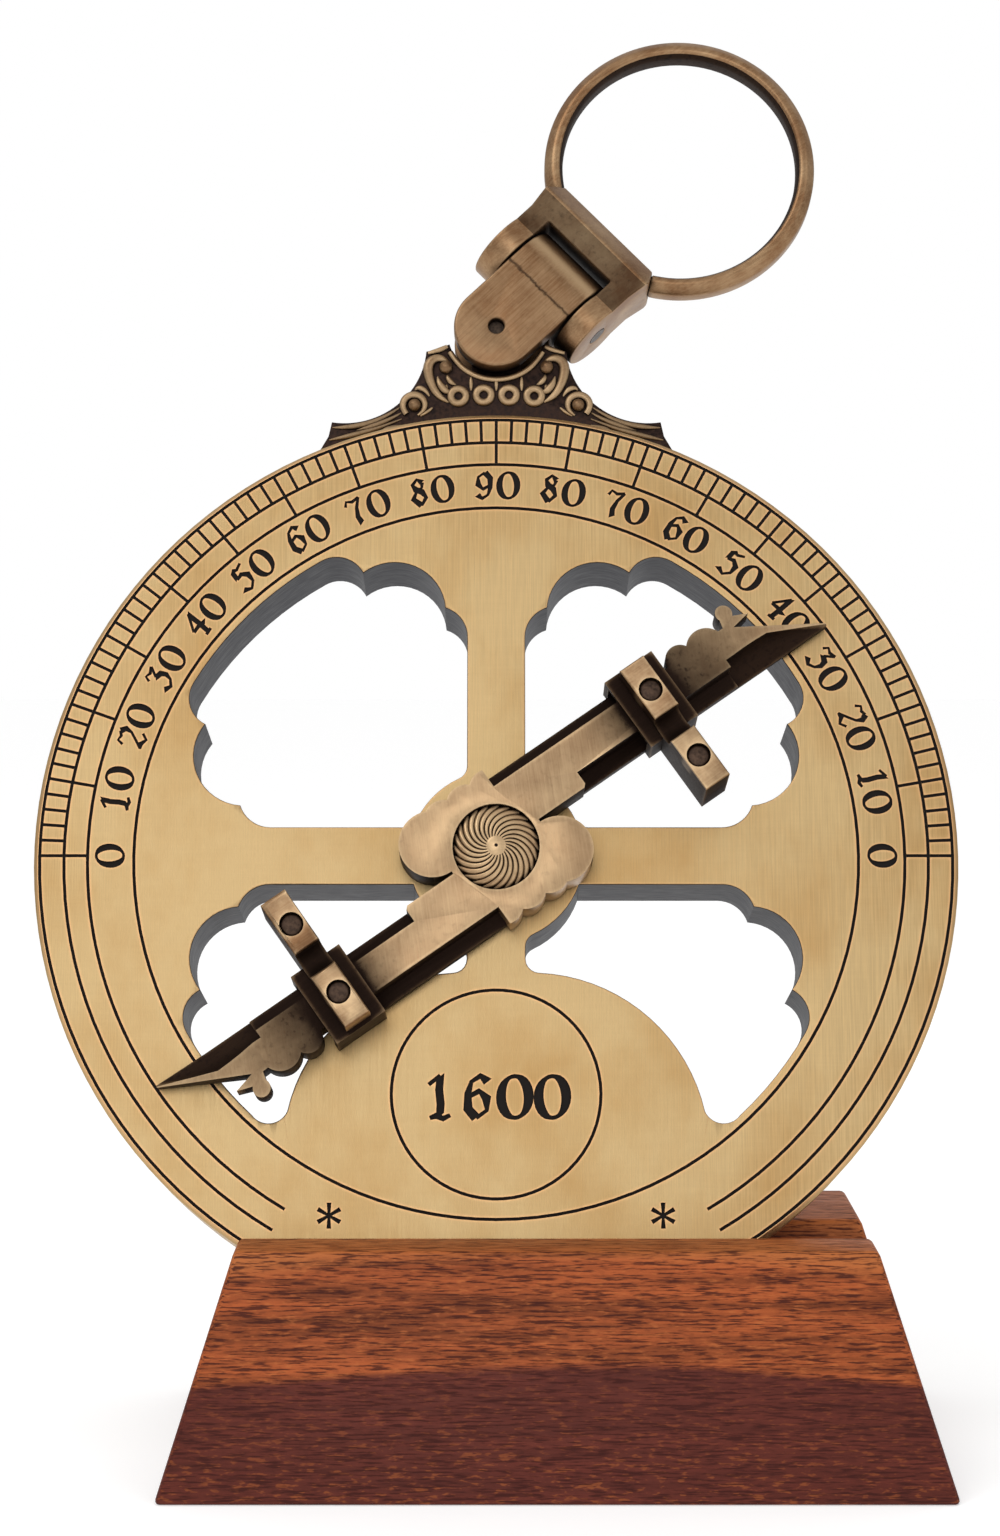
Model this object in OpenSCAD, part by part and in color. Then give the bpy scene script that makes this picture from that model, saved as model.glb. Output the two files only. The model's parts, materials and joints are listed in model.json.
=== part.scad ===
// Mariner's astrolabe on a wooden stand.
// The disc leans back in a slot of the stand. Its own frame, used by every brass
// piece, is: x to the right, y up the face, z out of the face towards the user,
// with its origin at the centre of the front face.

/* [Limb] */
// Outer radius of the graduated disc
limb_r = 60; // [54:0.5:72]
// Thickness of the disc
limb_t = 12; // [8:0.5:14]
// Chamfer round the rim
limb_chamfer = 0.5; // [0.2:0.1:1]
// Radius of the centre boss where the spokes meet
boss_r = 11.4; // [10:0.1:14]
// Width of each spoke
spoke_w = 7.6; // [6:0.1:9]
// Width of the rim outside the four openings
rim_w = 14.1; // [13.5:0.1:16]

/* [Opening outline] */
// Radius of the round end next to the rim
lobe_r = 3.95; // [3:0.05:4.5]
// Angle between a spoke's axis and the round end
lobe_angle = 30.2; // [28:0.1:33]
// Radius of the large scallop
scallop_r = 6.7; // [6:0.1:7.5]
// Distance of the large scallop's centre from the spoke's axis
scallop_side = 13.4; // [12:0.1:14.5]
// Depth of the large scallop's centre inside the limb's edge
scallop_in = 27.2; // [26:0.1:29]
// Radius of the small quarter scallop beside the spoke
nick_r = 4.2; // [3.5:0.1:5]
// Depth of the small scallop's centre inside the limb's edge
nick_in = 30.7; // [29:0.1:32]
// Radius of the mound's shoulders below the centre
mound_r = 22.7; // [21:0.1:24]
// Distance of each shoulder's centre from the upright axis
mound_side = 4.5; // [3:0.1:6]
// Height of the shoulders' centres above the limb's lowest point
mound_up = 22; // [20:0.1:24]
// Radius of the round foot of the two lower openings
foot_r = 2.6; // [2:0.1:4]
// Fillet between a spoke and the boss or mound
web_r = 1.8; // [1:0.1:3]

/* [Engraving] */
// Width of the engraved lines
line_w = 0.42; // [0.3:0.02:0.6]
// Depth of the engraved lines
line_d = 0.35; // [0.2:0.05:0.6]
// Inset of the outermost circle from the edge
edge_line_in = 0.8; // [0.7:0.05:1.2]
// Inset of the circle inside the fine degree marks
fine_line_in = 3.95; // [3:0.05:5]
// Inset of the circle inside the ten-degree marks
ten_line_in = 7; // [6:0.05:8]
// Inset of the circle inside the numbers
number_line_in = 13; // [12:0.05:13.3]
// Angle below the level line where the two circles of the scale stop
scale_end = 59.6; // [50:0.1:75]
// Degrees between the fine marks
fine_step = 2; // [1:1:5]
// Radius of the date circle
date_r = 13.4; // [12:0.1:15]
// Height of the date circle's centre above the limb's lowest point
date_up = 29; // [28:0.1:31]

/* [Stand] */
// Length of the stand's top
stand_top_x = 80; // [72:1:110]
// Length of the stand's foot
stand_foot_x = 98.5; // [90:0.5:130]
// Depth of the stand's top
stand_top_y = 44.5; // [40:0.5:60]
// Depth of the stand's foot
stand_foot_y = 63; // [56:0.5:80]
// Height of the stand
stand_h = 29.5; // [24:0.5:36]
// Width of the ledge in front of the slot
ledge_w = 9.3; // [7:0.1:12]
// Depth of the slot along its own slope
slot_d = 10.7; // [8:0.1:13]
// Lean of the disc from upright, in degrees
lean = 15.5; // [8:0.5:20]
// Distance of the disc's centre from the stand's centre, to the left
disc_left = 7.5; // [0:0.5:10]
// Gap between the disc's front and the slot
slot_gap_front = 0.3; // [0.2:0.05:0.6]
// Gap between the disc's back and the slot
slot_gap_back = 0.1; // [0.1:0.05:0.4]

/* [Throne] */
// Thickness of the cast throne on top of the limb
throne_t = 6; // [5:0.1:7]
// Half of the throne's length at its feet
throne_half = 24.2; // [23:0.1:26]
// Height of the feet's corners above the limb's edge
throne_foot_h = 5.3; // [4:0.1:6]
// Height of the horns above the limb's top
horn_h = 9.85; // [9:0.05:10.2]
// Half of the distance between the horns' outer corners
horn_half = 9.5; // [9:0.1:9.7]
// Radius of the hollow side between foot and horn
side_r = 11; // [10:0.1:12]
// Height of the shackle pin above the limb's top
pin_up = 12.8; // [12.5:0.1:14]
// Thickness of the lug that carries the shackle pin
lug_t = 4; // [3:0.1:5]
// Radius of the lug's round top
lug_r = 4.2; // [3.5:0.1:4.4]
// Width of the lug's neck
lug_neck_w = 6.6; // [5:0.1:8]
// Radius of the dowels between throne and limb
dowel_r = 1.25; // [1:0.05:1.5]
// Length of each dowel
dowel_l = 12; // [9:0.5:14]
// Angle of each dowel from the upright axis
dowel_angle = 9.5; // [8:0.1:11]

/* [Shackle] */
// Lean of the shackle to the right of the disc's upright axis, in degrees
shackle_lean = 46; // [0:0.5:46.5]
// Width of the shackle link
link_w = 11.4; // [10:0.1:12]
// Radius of the link's barrel, which is half its thickness
barrel_r = 5.2; // [4.6:0.1:5.6]
// Distance from the shackle pin to the barrel's axis
barrel_up = 10.1; // [10:0.1:13]
// Radius of the shackle pin
link_pin_r = 1; // [0.8:0.05:1.4]
// Depth of the pin's ends below the link's faces
link_pin_sunk = 1.3; // [0.5:0.1:1.8]
// Gap between the throne's notch and the link's round end
notch_gap = 0.9; // [0.7:0.05:1.2]
// Gap on each side of the lug inside the fork
fork_gap = 0.2; // [0.15:0.05:0.4]

/* [Yoke] */
// Thickness of each ear
ear_t = 3.3; // [2.5:0.1:4]
// Gap between an ear and the link
ear_gap = 0.3; // [0.2:0.05:0.5]
// Gap between the yoke's bar and the link's barrel
bar_gap = 0.4; // [0.3:0.05:0.8]
// Height of the yoke's bar, from its gap to the flat inside the ring
bar_h = 5.6; // [5:0.1:7]
// Radius of the pin through the ears and the barrel
yoke_pin_r = 1.3; // [1:0.05:1.8]

/* [Finger ring] */
// Inner radius of the finger ring
ring_in_r = 16; // [14:0.1:20]
// Radial thickness of the ring
ring_wall = 2.5; // [2:0.1:3.5]
// Width of the ring along its axis
ring_width = 4.4; // [3.5:0.1:5]
// Half angle that the yoke takes out of the ring
ring_gap_angle = 32; // [28:0.5:36]

/* [Alidade] */
// Angle of the alidade above the horizon line
alidade_angle = 35; // [0:1:180]
// Gap between the limb and the alidade
alidade_gap = 0.45; // [0.4:0.05:0.8]
// Height of the alidade's front face above the limb
alidade_front = 6.2; // [5.5:0.1:7.5]
// Height of the thin fiducial blade above the limb
blade_front = 2.2; // [1.8:0.1:3]
// Width of the blade
blade_w = 8.5; // [8:0.1:9.5]
// Distance of the pointer's tip inside the limb's edge
tip_in = 7.2; // [6.5:0.1:9]
// Distance from the fiducial edge to the rib
rib_low = 2; // [1.5:0.1:3]
// Distance from the fiducial edge to the rib's far side
rib_high = 6.6; // [6:0.1:7.5]
// Length of the hub's shoulders from the centre
shoulder_l = 14.1; // [13:0.1:16]
// Half of the length of the hub's block
hub_block_l = 4.25; // [3.8:0.05:5]
// Half of the height of the hub's block
hub_half = 9.3; // [8.8:0.1:10]
// Radius of the hub's round ears
hub_lobe_r = 4.35; // [4:0.05:4.8]

/* [Sight vanes] */
// Offset of a vane's middle below the fiducial edge
vane_drop = 0.6; // [0:0.1:1]
// Distance of each vane from the pivot
vane_at = 27.4; // [25:0.1:29]
// Thickness of a vane along the alidade
vane_t = 3.7; // [3:0.1:4.5]
// Length of a vane across the alidade
vane_l = 19; // [18:0.1:21]
// Height of a vane's front above the limb
vane_front = 11; // [10:0.1:13]
// Width of the sighting notch
notch_w = 3.4; // [2.5:0.1:4]
// Wall of the vane's collar round the blade
collar_wall = 0.9; // [0.7:0.1:1.5]
// Length of the collar along the alidade
collar_l = 7.4; // [6:0.1:8.5]
// Radius of the rivets and plugs
rivet_r = 1.55; // [1.3:0.05:1.7]
// Distance between a vane's rivet and plug
rivet_pitch = 10.5; // [10:0.1:11.5]
// Depth of the rivet heads below the vane's front
rivet_sunk = 0.5; // [0.2:0.1:1]

/* [Pivot] */
// Radius of the pivot bolt's shank
bolt_r = 3; // [2.5:0.1:3.5]
// Running clearance on the pivot and hinge pins, on the radius
running_gap = 0.05; // [0.02:0.01:0.09]
// Radius of the bolt's rosette head
rosette_r = 5.55; // [5:0.05:6]
// Depth of the recess that the head sits in
rosette_sunk = 2.3; // [1.8:0.1:2.8]
// Height of the rosette's dome
rosette_h = 3; // [2.5:0.1:3.6]
// Radius of the two washers
washer_r = 7.5; // [6:0.1:8.5]
// Thickness of the rear washer
washer_t = 1; // [0.8:0.1:1.5]
// Width of the hexagon nut across its flats
nut_af = 10; // [9:0.5:13]
// Thickness of the nut
nut_t = 5; // [4:0.5:6]

/* [Hidden] */

$fn = 96;
eps = 0.01;
// How far two rounded outlines run into each other where they join
overlap = 0.05;
brass = [0.80, 0.68, 0.47];
dark_brass = [0.50, 0.40, 0.27];
cast_brass = [0.30, 0.24, 0.18];
mahogany = [0.50, 0.24, 0.14];
mid_brass = [0.38, 0.30, 0.20];
steel = [0.55, 0.55, 0.57];

mid_z = -limb_t / 2;
spoke_half = spoke_w / 2;
open_r = limb_r - rim_w;
pin_y = limb_r + pin_up;
lobe_c = (open_r - lobe_r) * [sin(lobe_angle), cos(lobe_angle)];
scallop_c = [scallop_side, limb_r - scallop_in];
nick_c = [spoke_half + nick_r, limb_r - nick_in];
mound_c = [mound_side, mound_up - limb_r];
face_y = -stand_top_y / 2 + ledge_w;
pin_hole_r = link_pin_r + running_gap;
notch_r = link_w / 2 + notch_gap;
ear_in = link_w / 2 + ear_gap;
ear_out = ear_in + ear_t;
bar_low = barrel_up + barrel_r + bar_gap;
bar_high = bar_low + bar_h;
ring_out_r = ring_in_r + ring_wall;
ring_up = bar_high + ring_in_r * cos(ring_gap_angle);
tip_l = limb_r - tip_in;
seat_z = alidade_front - rosette_sunk;
back_z = -limb_t - running_gap;
vane_mid = -vane_drop;
rivet_y = vane_mid + rivet_pitch / 2;
plug_y = vane_mid - rivet_pitch / 2;

// Where two circles meet, on the left of the line from the first centre to the second
function meet(c1, r1, c2, r2) =
    let (d = norm(c2 - c1), along = (r1 * r1 - r2 * r2 + d * d) / (2 * d),
         off = sqrt(r1 * r1 - along * along), t = (c2 - c1) / d)
    c1 + along * t + off * [-t[1], t[0]];

// Places its children in the leaning disc's frame
module on_disc() {
    translate([-disc_left, face_y, stand_h])
        rotate([90 - lean, 0, 0])
            translate([0, limb_r - slot_d, -slot_gap_front])
                children();
}

// Places its children in the shackle's frame: y along the shackle, z out of the disc's face
module on_shackle() {
    on_disc()
        translate([0, pin_y, mid_z])
            rotate([0, 0, -shackle_lean])
                children();
}

// Places its children in the alidade's frame: x along the upper arm, z out of the disc's face
module on_alidade() {
    on_disc()
        rotate([0, 0, alidade_angle])
            children();
}

// Both halves of a shape that is symmetric about the upright axis
module both_sides() {
    children();
    mirror([1, 0]) children();
}

// Fills the corner between the line x = edge and a round body below it
module web(edge, body_c, body_r) {
    reach = body_r + web_r;
    c = [edge + web_r, body_c[1] + sqrt(pow(reach, 2) - pow(edge + web_r - body_c[0], 2))];
    touch = atan2(c[1] - body_c[1], c[0] - body_c[0]);
    inside = body_c + (body_r - 0.3) * [cos(touch), sin(touch)];
    hollow = [for (i = [0:5]) c + web_r * [cos(180 + i * touch / 5), sin(180 + i * touch / 5)]];
    polygon(concat([[edge - 1, c[1]]], hollow, [inside, [edge - 1, inside[1]]]));
}

// The scallops and the round end beside one spoke, which lies along y
module scallops() {
    translate(nick_c) circle(r = nick_r);
    translate(scallop_c) circle(r = scallop_r);
    translate(lobe_c) circle(r = lobe_r);
}

// Swaps x and y, for the same outline beside the other spoke
module turned() {
    mirror([1, -1]) children();
}

// Upper right opening
module upper_opening() {
    swap = function (p) [p[1], p[0]];
    difference() {
        union() {
            polygon([[spoke_half, spoke_half], [spoke_half, nick_c[1]], nick_c, scallop_c, lobe_c,
                     swap(lobe_c), swap(scallop_c), swap(nick_c), [nick_c[1], spoke_half]]);
            intersection() {
                circle(r = open_r);
                polygon([[0, 0], 2 * lobe_c, 2 * [lobe_c[1], lobe_c[1]], 2 * swap(lobe_c)]);
            }
            scallops();
            turned() scallops();
        }
        circle(r = boss_r);
        web(spoke_half, [0, 0], boss_r);
        turned() web(spoke_half, [0, 0], boss_r);
    }
}

// Lower right opening, above the mound
module lower_opening() {
    down = function (p) [p[1], -p[0]];
    foot_c = meet([0, 0], open_r - foot_r + overlap, mound_c, mound_r + foot_r - overlap);
    difference() {
        union() {
            polygon([[spoke_half, -spoke_half], [nick_c[1], -spoke_half], down(nick_c), down(scallop_c),
                     down(lobe_c), foot_c, mound_c, [spoke_half, mound_c[1]]]);
            intersection() {
                circle(r = open_r);
                polygon([[0, 0], 2 * down(lobe_c), 2 * foot_c]);
            }
            rotate(-90) scallops();
            translate(foot_c) circle(r = foot_r);
        }
        circle(r = boss_r);
        rotate(-90) mirror([1, 0]) web(spoke_half, [0, 0], boss_r);
        mirror([0, 1]) web(spoke_half, [0, 0], boss_r);
        translate(mound_c) circle(r = mound_r);
        web(spoke_half, mound_c, mound_r);
    }
}

// A flat-bottomed circle or arc engraved in the face
module engraved_circle(r, from = 0, sweep = 360) {
    translate([0, 0, -line_d]) rotate(from) rotate_extrude(angle = sweep)
        translate([r - line_w / 2, 0]) square([line_w, 2 * line_d]);
}

// Radial marks over the upper half, every fine_step degrees and longer at the tens.
// They are a little shallower than the circles that they run into.
module engraved_marks() {
    mark_d = 0.8 * line_d;
    for (a = [0:fine_step:180]) {
        inset = a % 10 == 0 ? ten_line_in : fine_line_in;
        rotate(a) translate([limb_r - inset, -line_w / 2, -mark_d])
            cube([inset - edge_line_in, line_w, 2 * mark_d]);
    }
}

module limb() {
    top = limb_t - limb_chamfer;
    color(brass) on_disc() difference() {
        translate([0, 0, -limb_t]) rotate_extrude($fn = 180)
            polygon([[0, 0], [limb_r - limb_chamfer, 0], [limb_r, limb_chamfer], [limb_r, top],
                     [limb_r - limb_chamfer, limb_t], [0, limb_t]]);
        translate([0, 0, -limb_t - 1]) linear_extrude(limb_t + 2) both_sides() {
            upper_opening();
            lower_opening();
        }
        translate([0, 0, -limb_t - 1]) cylinder(r = bolt_r + running_gap, h = limb_t + 2);
        for (side = [-1, 1]) throne_dowel_hole(side);
        for (inset = [edge_line_in, number_line_in]) engraved_circle(limb_r - inset);
        for (inset = [fine_line_in, ten_line_in])
            engraved_circle(limb_r - inset, -scale_end, 180 + 2 * scale_end);
        translate([0, date_up - limb_r, 0]) engraved_circle(date_r);
        engraved_marks();
    }
}

// The axis of one dowel, which runs outwards from the limb's centre
module on_dowel(side) {
    rotate([0, 0, -side * dowel_angle])
        translate([0, limb_r - dowel_l * 0.6, mid_z])
            rotate([-90, 0, 0])
                children();
}

module throne_dowel_hole(side) {
    on_dowel(side) cylinder(r = dowel_r, h = dowel_l);
}

module throne_dowel(side) {
    color(steel) on_disc() throne_dowel_hole(side);
}

// Right half of the throne's outline
module throne_half_outline() {
    rim_y = sqrt(pow(limb_r, 2) - pow(throne_half, 2));
    foot = [throne_half - 2.2, rim_y + throne_foot_h];
    horn = [horn_half, limb_r + horn_h];
    side_c = [horn_half + side_r - 0.1, horn[1] + 0.9];
    difference() {
        polygon([[0, rim_y - 2], [throne_half + 0.4, rim_y - 2], [throne_half, rim_y],
                 [throne_half - 1.7, rim_y + 3], foot, [side_c[0], foot[1]], side_c, horn,
                 [horn_half - 1.3, horn[1] + 0.25], [horn_half - 3.2, horn[1] + 1.05],
                 [0, horn[1] + 1.05]]);
        translate(side_c) circle(r = side_r);
    }
}

module throne() {
    color(cast_brass) on_disc() difference() {
        union() {
            translate([0, 0, mid_z - throne_t / 2]) linear_extrude(throne_t) difference() {
                both_sides() throne_half_outline();
                circle(r = limb_r, $fn = 180);
                translate([0, pin_y]) circle(r = notch_r);
            }
            translate([0, 0, mid_z - lug_t / 2]) linear_extrude(lug_t) difference() {
                union() {
                    translate([0, pin_y]) circle(r = lug_r);
                    translate([-lug_neck_w / 2, limb_r - 1]) square([lug_neck_w, pin_up + 1]);
                }
                circle(r = limb_r, $fn = 180);
            }
        }
        translate([0, pin_y, mid_z - throne_t]) cylinder(r = link_pin_r, h = 2 * throne_t);
        for (side = [-1, 1]) throne_dowel_hole(side);
    }
}

module shackle_pin() {
    l = 2 * (barrel_r - link_pin_sunk);
    color(steel) on_shackle() translate([0, 0, -l / 2]) cylinder(r = link_pin_r, h = l);
}

// A cylinder centred on the barrel's axis, across the shackle
module across(r, l) {
    translate([0, barrel_up, 0]) rotate([0, 90, 0]) cylinder(r = r, h = l, center = true);
}

module shackle_link() {
    fork_t = lug_t + 2 * fork_gap;
    fork_depth = lug_r + 2 * fork_gap;
    color(dark_brass) on_shackle() difference() {
        union() {
            translate([0, 0, -barrel_r]) cylinder(r = link_w / 2, h = 2 * barrel_r);
            translate([-link_w / 2, 0, -barrel_r]) cube([link_w, barrel_up, 2 * barrel_r]);
            across(barrel_r, link_w);
        }
        translate([-link_w, -link_w, -fork_t / 2]) cube([2 * link_w, link_w + fork_depth, fork_t]);
        translate([0, 0, -2 * barrel_r]) cylinder(r = pin_hole_r, h = 4 * barrel_r);
        across(yoke_pin_r + running_gap, 2 * link_w);
    }
}

// Outline of the yoke's bar, whose ends are cut along the ring's radii
module yoke_bar_outline() {
    ring_c = [0, ring_up];
    spread = [sin(ring_gap_angle), -cos(ring_gap_angle)];
    flip = function (p) [-p[0], p[1]];
    inner = ring_c + ring_in_r * spread;
    outer = ring_c + ring_out_r * spread;
    polygon([[-ear_out, bar_low], [ear_out, bar_low], outer, inner, flip(inner), flip(outer)]);
}

module yoke() {
    ridge = bar_low + 0.55 * bar_h;
    color(dark_brass) on_shackle() difference() {
        union() {
            intersection() {
                translate([0, 0, -barrel_r]) linear_extrude(2 * barrel_r) yoke_bar_outline();
                rotate([90, 0, 90]) linear_extrude(4 * ear_out, center = true)
                    polygon([[bar_low, -0.85 * barrel_r], [ridge, -0.92 * barrel_r], [bar_high, -ring_width / 2],
                             [bar_high, ring_width / 2], [ridge, 0.92 * barrel_r],
                             [bar_low, 0.85 * barrel_r]]);
            }
            for (side = [-1, 1]) translate([side * (ear_in + ear_t / 2), 0, 0]) {
                across(barrel_r, ear_t);
                translate([-ear_t / 2, barrel_up, -0.85 * barrel_r])
                    cube([ear_t, bar_low - barrel_up, 1.7 * barrel_r]);
            }
        }
        across(yoke_pin_r, 4 * ear_out);
    }
}

module yoke_pin() {
    color(steel) on_shackle() across(yoke_pin_r, 2 * ear_out);
}

module finger_ring() {
    corner = ring_width / 4;
    low = -ring_width / 2;
    color(dark_brass) on_shackle() translate([0, ring_up, 0]) rotate(ring_gap_angle - 90)
        rotate_extrude(angle = 360 - 2 * ring_gap_angle, $fn = 144)
            polygon([[ring_in_r + corner / 2, low], [ring_out_r - corner, low], [ring_out_r, low + corner],
                     [ring_out_r, -low - corner], [ring_out_r - corner, -low], [ring_in_r + corner / 2, -low],
                     [ring_in_r, -low - corner], [ring_in_r, low + corner]]);
}

// Both ends of a shape that is the same after half a turn about the pivot
module both_ends() {
    children();
    rotate([0, 0, 180]) children();
}

// Outline of the hub plate with its round ears, scalloped edges and shoulders
module hub_outline() {
    lobe_x = hub_block_l + 2.25;
    lobe_y = hub_half - hub_lobe_r;
    block_y = hub_half - 0.7;
    bump_r = 2.6;
    bump_pitch = 3.55;
    both_ends() {
        translate([-lobe_x, lobe_y]) circle(r = hub_lobe_r);
        polygon([[-lobe_x, hub_half], [-lobe_x + 1.2, block_y], [hub_block_l, block_y], [hub_block_l, rib_high],
                 [shoulder_l, rib_high], [shoulder_l, 0.2], [shoulder_l - 0.4, -0.2], [lobe_x, -0.2],
                 [lobe_x, -lobe_y], [-lobe_x, lobe_y]]);
        intersection() {
            for (k = [0:2]) translate([hub_block_l - 0.65 - k * bump_pitch, hub_half - bump_r])
                circle(r = bump_r);
            translate([-lobe_x, 0]) square([lobe_x + hub_block_l, hub_half + 1]);
        }
    }
}

// Outline of the leafy ornament and the pointed end of the upper arm
module pointer_outline() {
    step_x = tip_l - 14.3;
    translate([step_x - 4.8, rib_high - 0.05]) circle(r = 1.95);
    translate([step_x - 1.1, rib_high - 0.75]) circle(r = 2.65);
    translate([step_x + 3.5, rib_high + 1.8]) circle(r = 1.15, $fn = 32);
    polygon([[step_x - 6.7, rib_low], [step_x, rib_low], [step_x, 0], [tip_l, 0], [tip_l, 0.3],
             [step_x + 3.5, rib_high - 0.4], [step_x + 6.3, rib_high + 0.2], [step_x + 4.2, rib_high + 1],
             [step_x + 2.5, rib_high + 1.4], [step_x + 2.2, rib_high + 0.2], [step_x - 6.7, rib_high]]);
}

// The hollow ground along the fiducial edge, which dies out at the tip
module pointer_cove() {
    cove_r = 3.7;
    c = [-0.4, blade_front - 0.9 + cove_r];
    start = tip_l - 14.3;
    fade = tip_l - 7.5;
    translate([start, c[0], c[1]]) rotate([0, 90, 0]) cylinder(r = cove_r, h = fade - start);
    hull() {
        translate([fade - eps, c[0], c[1]]) rotate([0, 90, 0]) cylinder(r = cove_r, h = eps, $fn = 48);
        translate([tip_l, -0.3, blade_front + 0.4]) rotate([0, 90, 0]) cylinder(r = 0.3, h = 0.5, $fn = 48);
    }
}

// The pointed end, whose front face falls towards the tip
module pointer() {
    slope_x = tip_l - 13;
    fall = atan((alidade_front - blade_front - 0.3) / (tip_l - slope_x));
    difference() {
        translate([0, 0, alidade_gap]) linear_extrude(alidade_front - alidade_gap) pointer_outline();
        pointer_cove();
        translate([slope_x, -limb_r, alidade_front]) rotate([0, fall, 0]) cube([limb_r, 2 * limb_r, limb_r]);
    }
}

module alidade() {
    color(dark_brass) on_alidade() difference() {
        union() {
            translate([0, 0, alidade_gap]) linear_extrude(alidade_front - alidade_gap) hub_outline();
            both_ends() {
                translate([0, 0, alidade_gap]) cube([tip_l - 22.3, blade_w, blade_front - alidade_gap]);
                translate([0, 0, alidade_gap]) cube([tip_l - 14.3, rib_high, blade_front - alidade_gap]);
                translate([0, rib_low, alidade_gap])
                    cube([tip_l - 14.3, rib_high - rib_low, alidade_front - alidade_gap]);
                pointer();
            }
        }
        translate([0, 0, seat_z]) cylinder(r = rosette_r + running_gap, h = limb_r);
        cylinder(r = bolt_r, h = limb_r);
        both_ends() vane_drilling(rivet_y, blade_front);
    }
}

// A drilled hole or pin along z at one vane, from a given height to the vane's front
module vane_drilling(y, from_z, short = 0) {
    translate([vane_at, y, from_z]) cylinder(r = rivet_r, h = vane_front - from_z - short);
}

// One sight vane: a notched plate on a collar that sits astride the blade
module vane(turn) {
    slot_high = blade_w + running_gap;
    slot_top = alidade_front + running_gap;
    collar_top = slot_top + collar_wall;
    notch_floor = collar_top + 0.6;
    color(dark_brass) on_alidade() rotate([0, 0, turn]) difference() {
        union() {
            translate([vane_at - vane_t / 2, vane_mid - vane_l / 2, alidade_gap])
                cube([vane_t, vane_l, vane_front - alidade_gap]);
            translate([vane_at - collar_l / 2, -running_gap - collar_wall, alidade_gap])
                cube([collar_l, slot_high + running_gap + 2 * collar_wall, collar_top - alidade_gap]);
        }
        translate([vane_at - collar_l, -running_gap, -1])
            cube([2 * collar_l, slot_high + running_gap, slot_top + 1]);
        translate([vane_at - vane_t, vane_mid, notch_floor + notch_w / 2]) rotate([0, 90, 0])
            cylinder(r = notch_w / 2, h = 2 * vane_t);
        translate([vane_at - vane_t, vane_mid - notch_w / 2, notch_floor + notch_w / 2])
            cube([2 * vane_t, notch_w, vane_front]);
        vane_drilling(rivet_y, blade_front, -1);
        vane_drilling(plug_y, notch_floor, -1);
    }
}

// The rivet that holds a vane to the rib
module vane_rivet(turn) {
    color(mid_brass) on_alidade() rotate([0, 0, turn]) vane_drilling(rivet_y, blade_front, rivet_sunk);
}

// The plug in a vane's free end
module vane_plug(turn) {
    floor_z = alidade_front + running_gap + collar_wall + 0.6;
    color(mid_brass) on_alidade() rotate([0, 0, turn]) vane_drilling(plug_y, floor_z, rivet_sunk);
}

module pivot_bolt() {
    dome_r = (pow(rosette_r, 2) + pow(rosette_h, 2)) / (2 * rosette_h);
    end_z = back_z - washer_t - nut_t - 1;
    color(brass) on_disc() union() {
        intersection() {
            translate([0, 0, seat_z]) cylinder(r = rosette_r, h = rosette_h);
            translate([0, 0, seat_z + rosette_h - dome_r]) sphere(r = dome_r);
        }
        translate([0, 0, end_z]) cylinder(r = bolt_r, h = seat_z + 0.5 - end_z);
    }
}

// A plain washer between two heights
module washer(hole_r, low_z, high_z) {
    color(dark_brass) on_disc() translate([0, 0, low_z]) difference() {
        cylinder(r = washer_r, h = high_z - low_z);
        translate([0, 0, -1]) cylinder(r = hole_r, h = high_z - low_z + 2);
    }
}

module thrust_washer() {
    washer(bolt_r + running_gap, 0, alidade_gap - running_gap);
}

module rear_washer() {
    washer(bolt_r, back_z - washer_t, back_z);
}

module pivot_nut() {
    color(brass) on_disc() translate([0, 0, back_z - washer_t - nut_t]) difference() {
        cylinder(r = nut_af / 2 / cos(30), h = nut_t, $fn = 6);
        translate([0, 0, -1]) cylinder(r = bolt_r, h = nut_t + 2);
    }
}

// A prism along x whose section is a trapezium standing on its foot
module ridge(foot, top, l) {
    rotate([90, 0, 90]) linear_extrude(l, center = true)
        polygon([[-foot / 2, 0], [foot / 2, 0], [top / 2, stand_h], [-top / 2, stand_h]]);
}

module stand_block() {
    far = 2 * stand_foot_x;
    color(mahogany) difference() {
        intersection() {
            ridge(stand_foot_y, stand_top_y, far);
            rotate([0, 0, 90]) ridge(stand_foot_x, stand_top_x, far);
        }
        on_disc() translate([-far / 2, -limb_r - eps, -limb_t - slot_gap_back])
            cube([far, limb_r, limb_t + slot_gap_back + slot_gap_front]);
    }
}

stand_block();
limb();
throne();
throne_dowel(-1);  // throne_dowel_left
throne_dowel(1);  // throne_dowel_right
shackle_pin();
shackle_link();
yoke();
yoke_pin();
finger_ring();
alidade();
vane(0);  // upper_vane
vane_rivet(0);  // upper_vane_rivet
vane_plug(0);  // upper_vane_plug
vane(180);  // lower_vane
vane_rivet(180);  // lower_vane_rivet
vane_plug(180);  // lower_vane_plug
pivot_bolt();
thrust_washer();
rear_washer();
pivot_nut();
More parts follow.
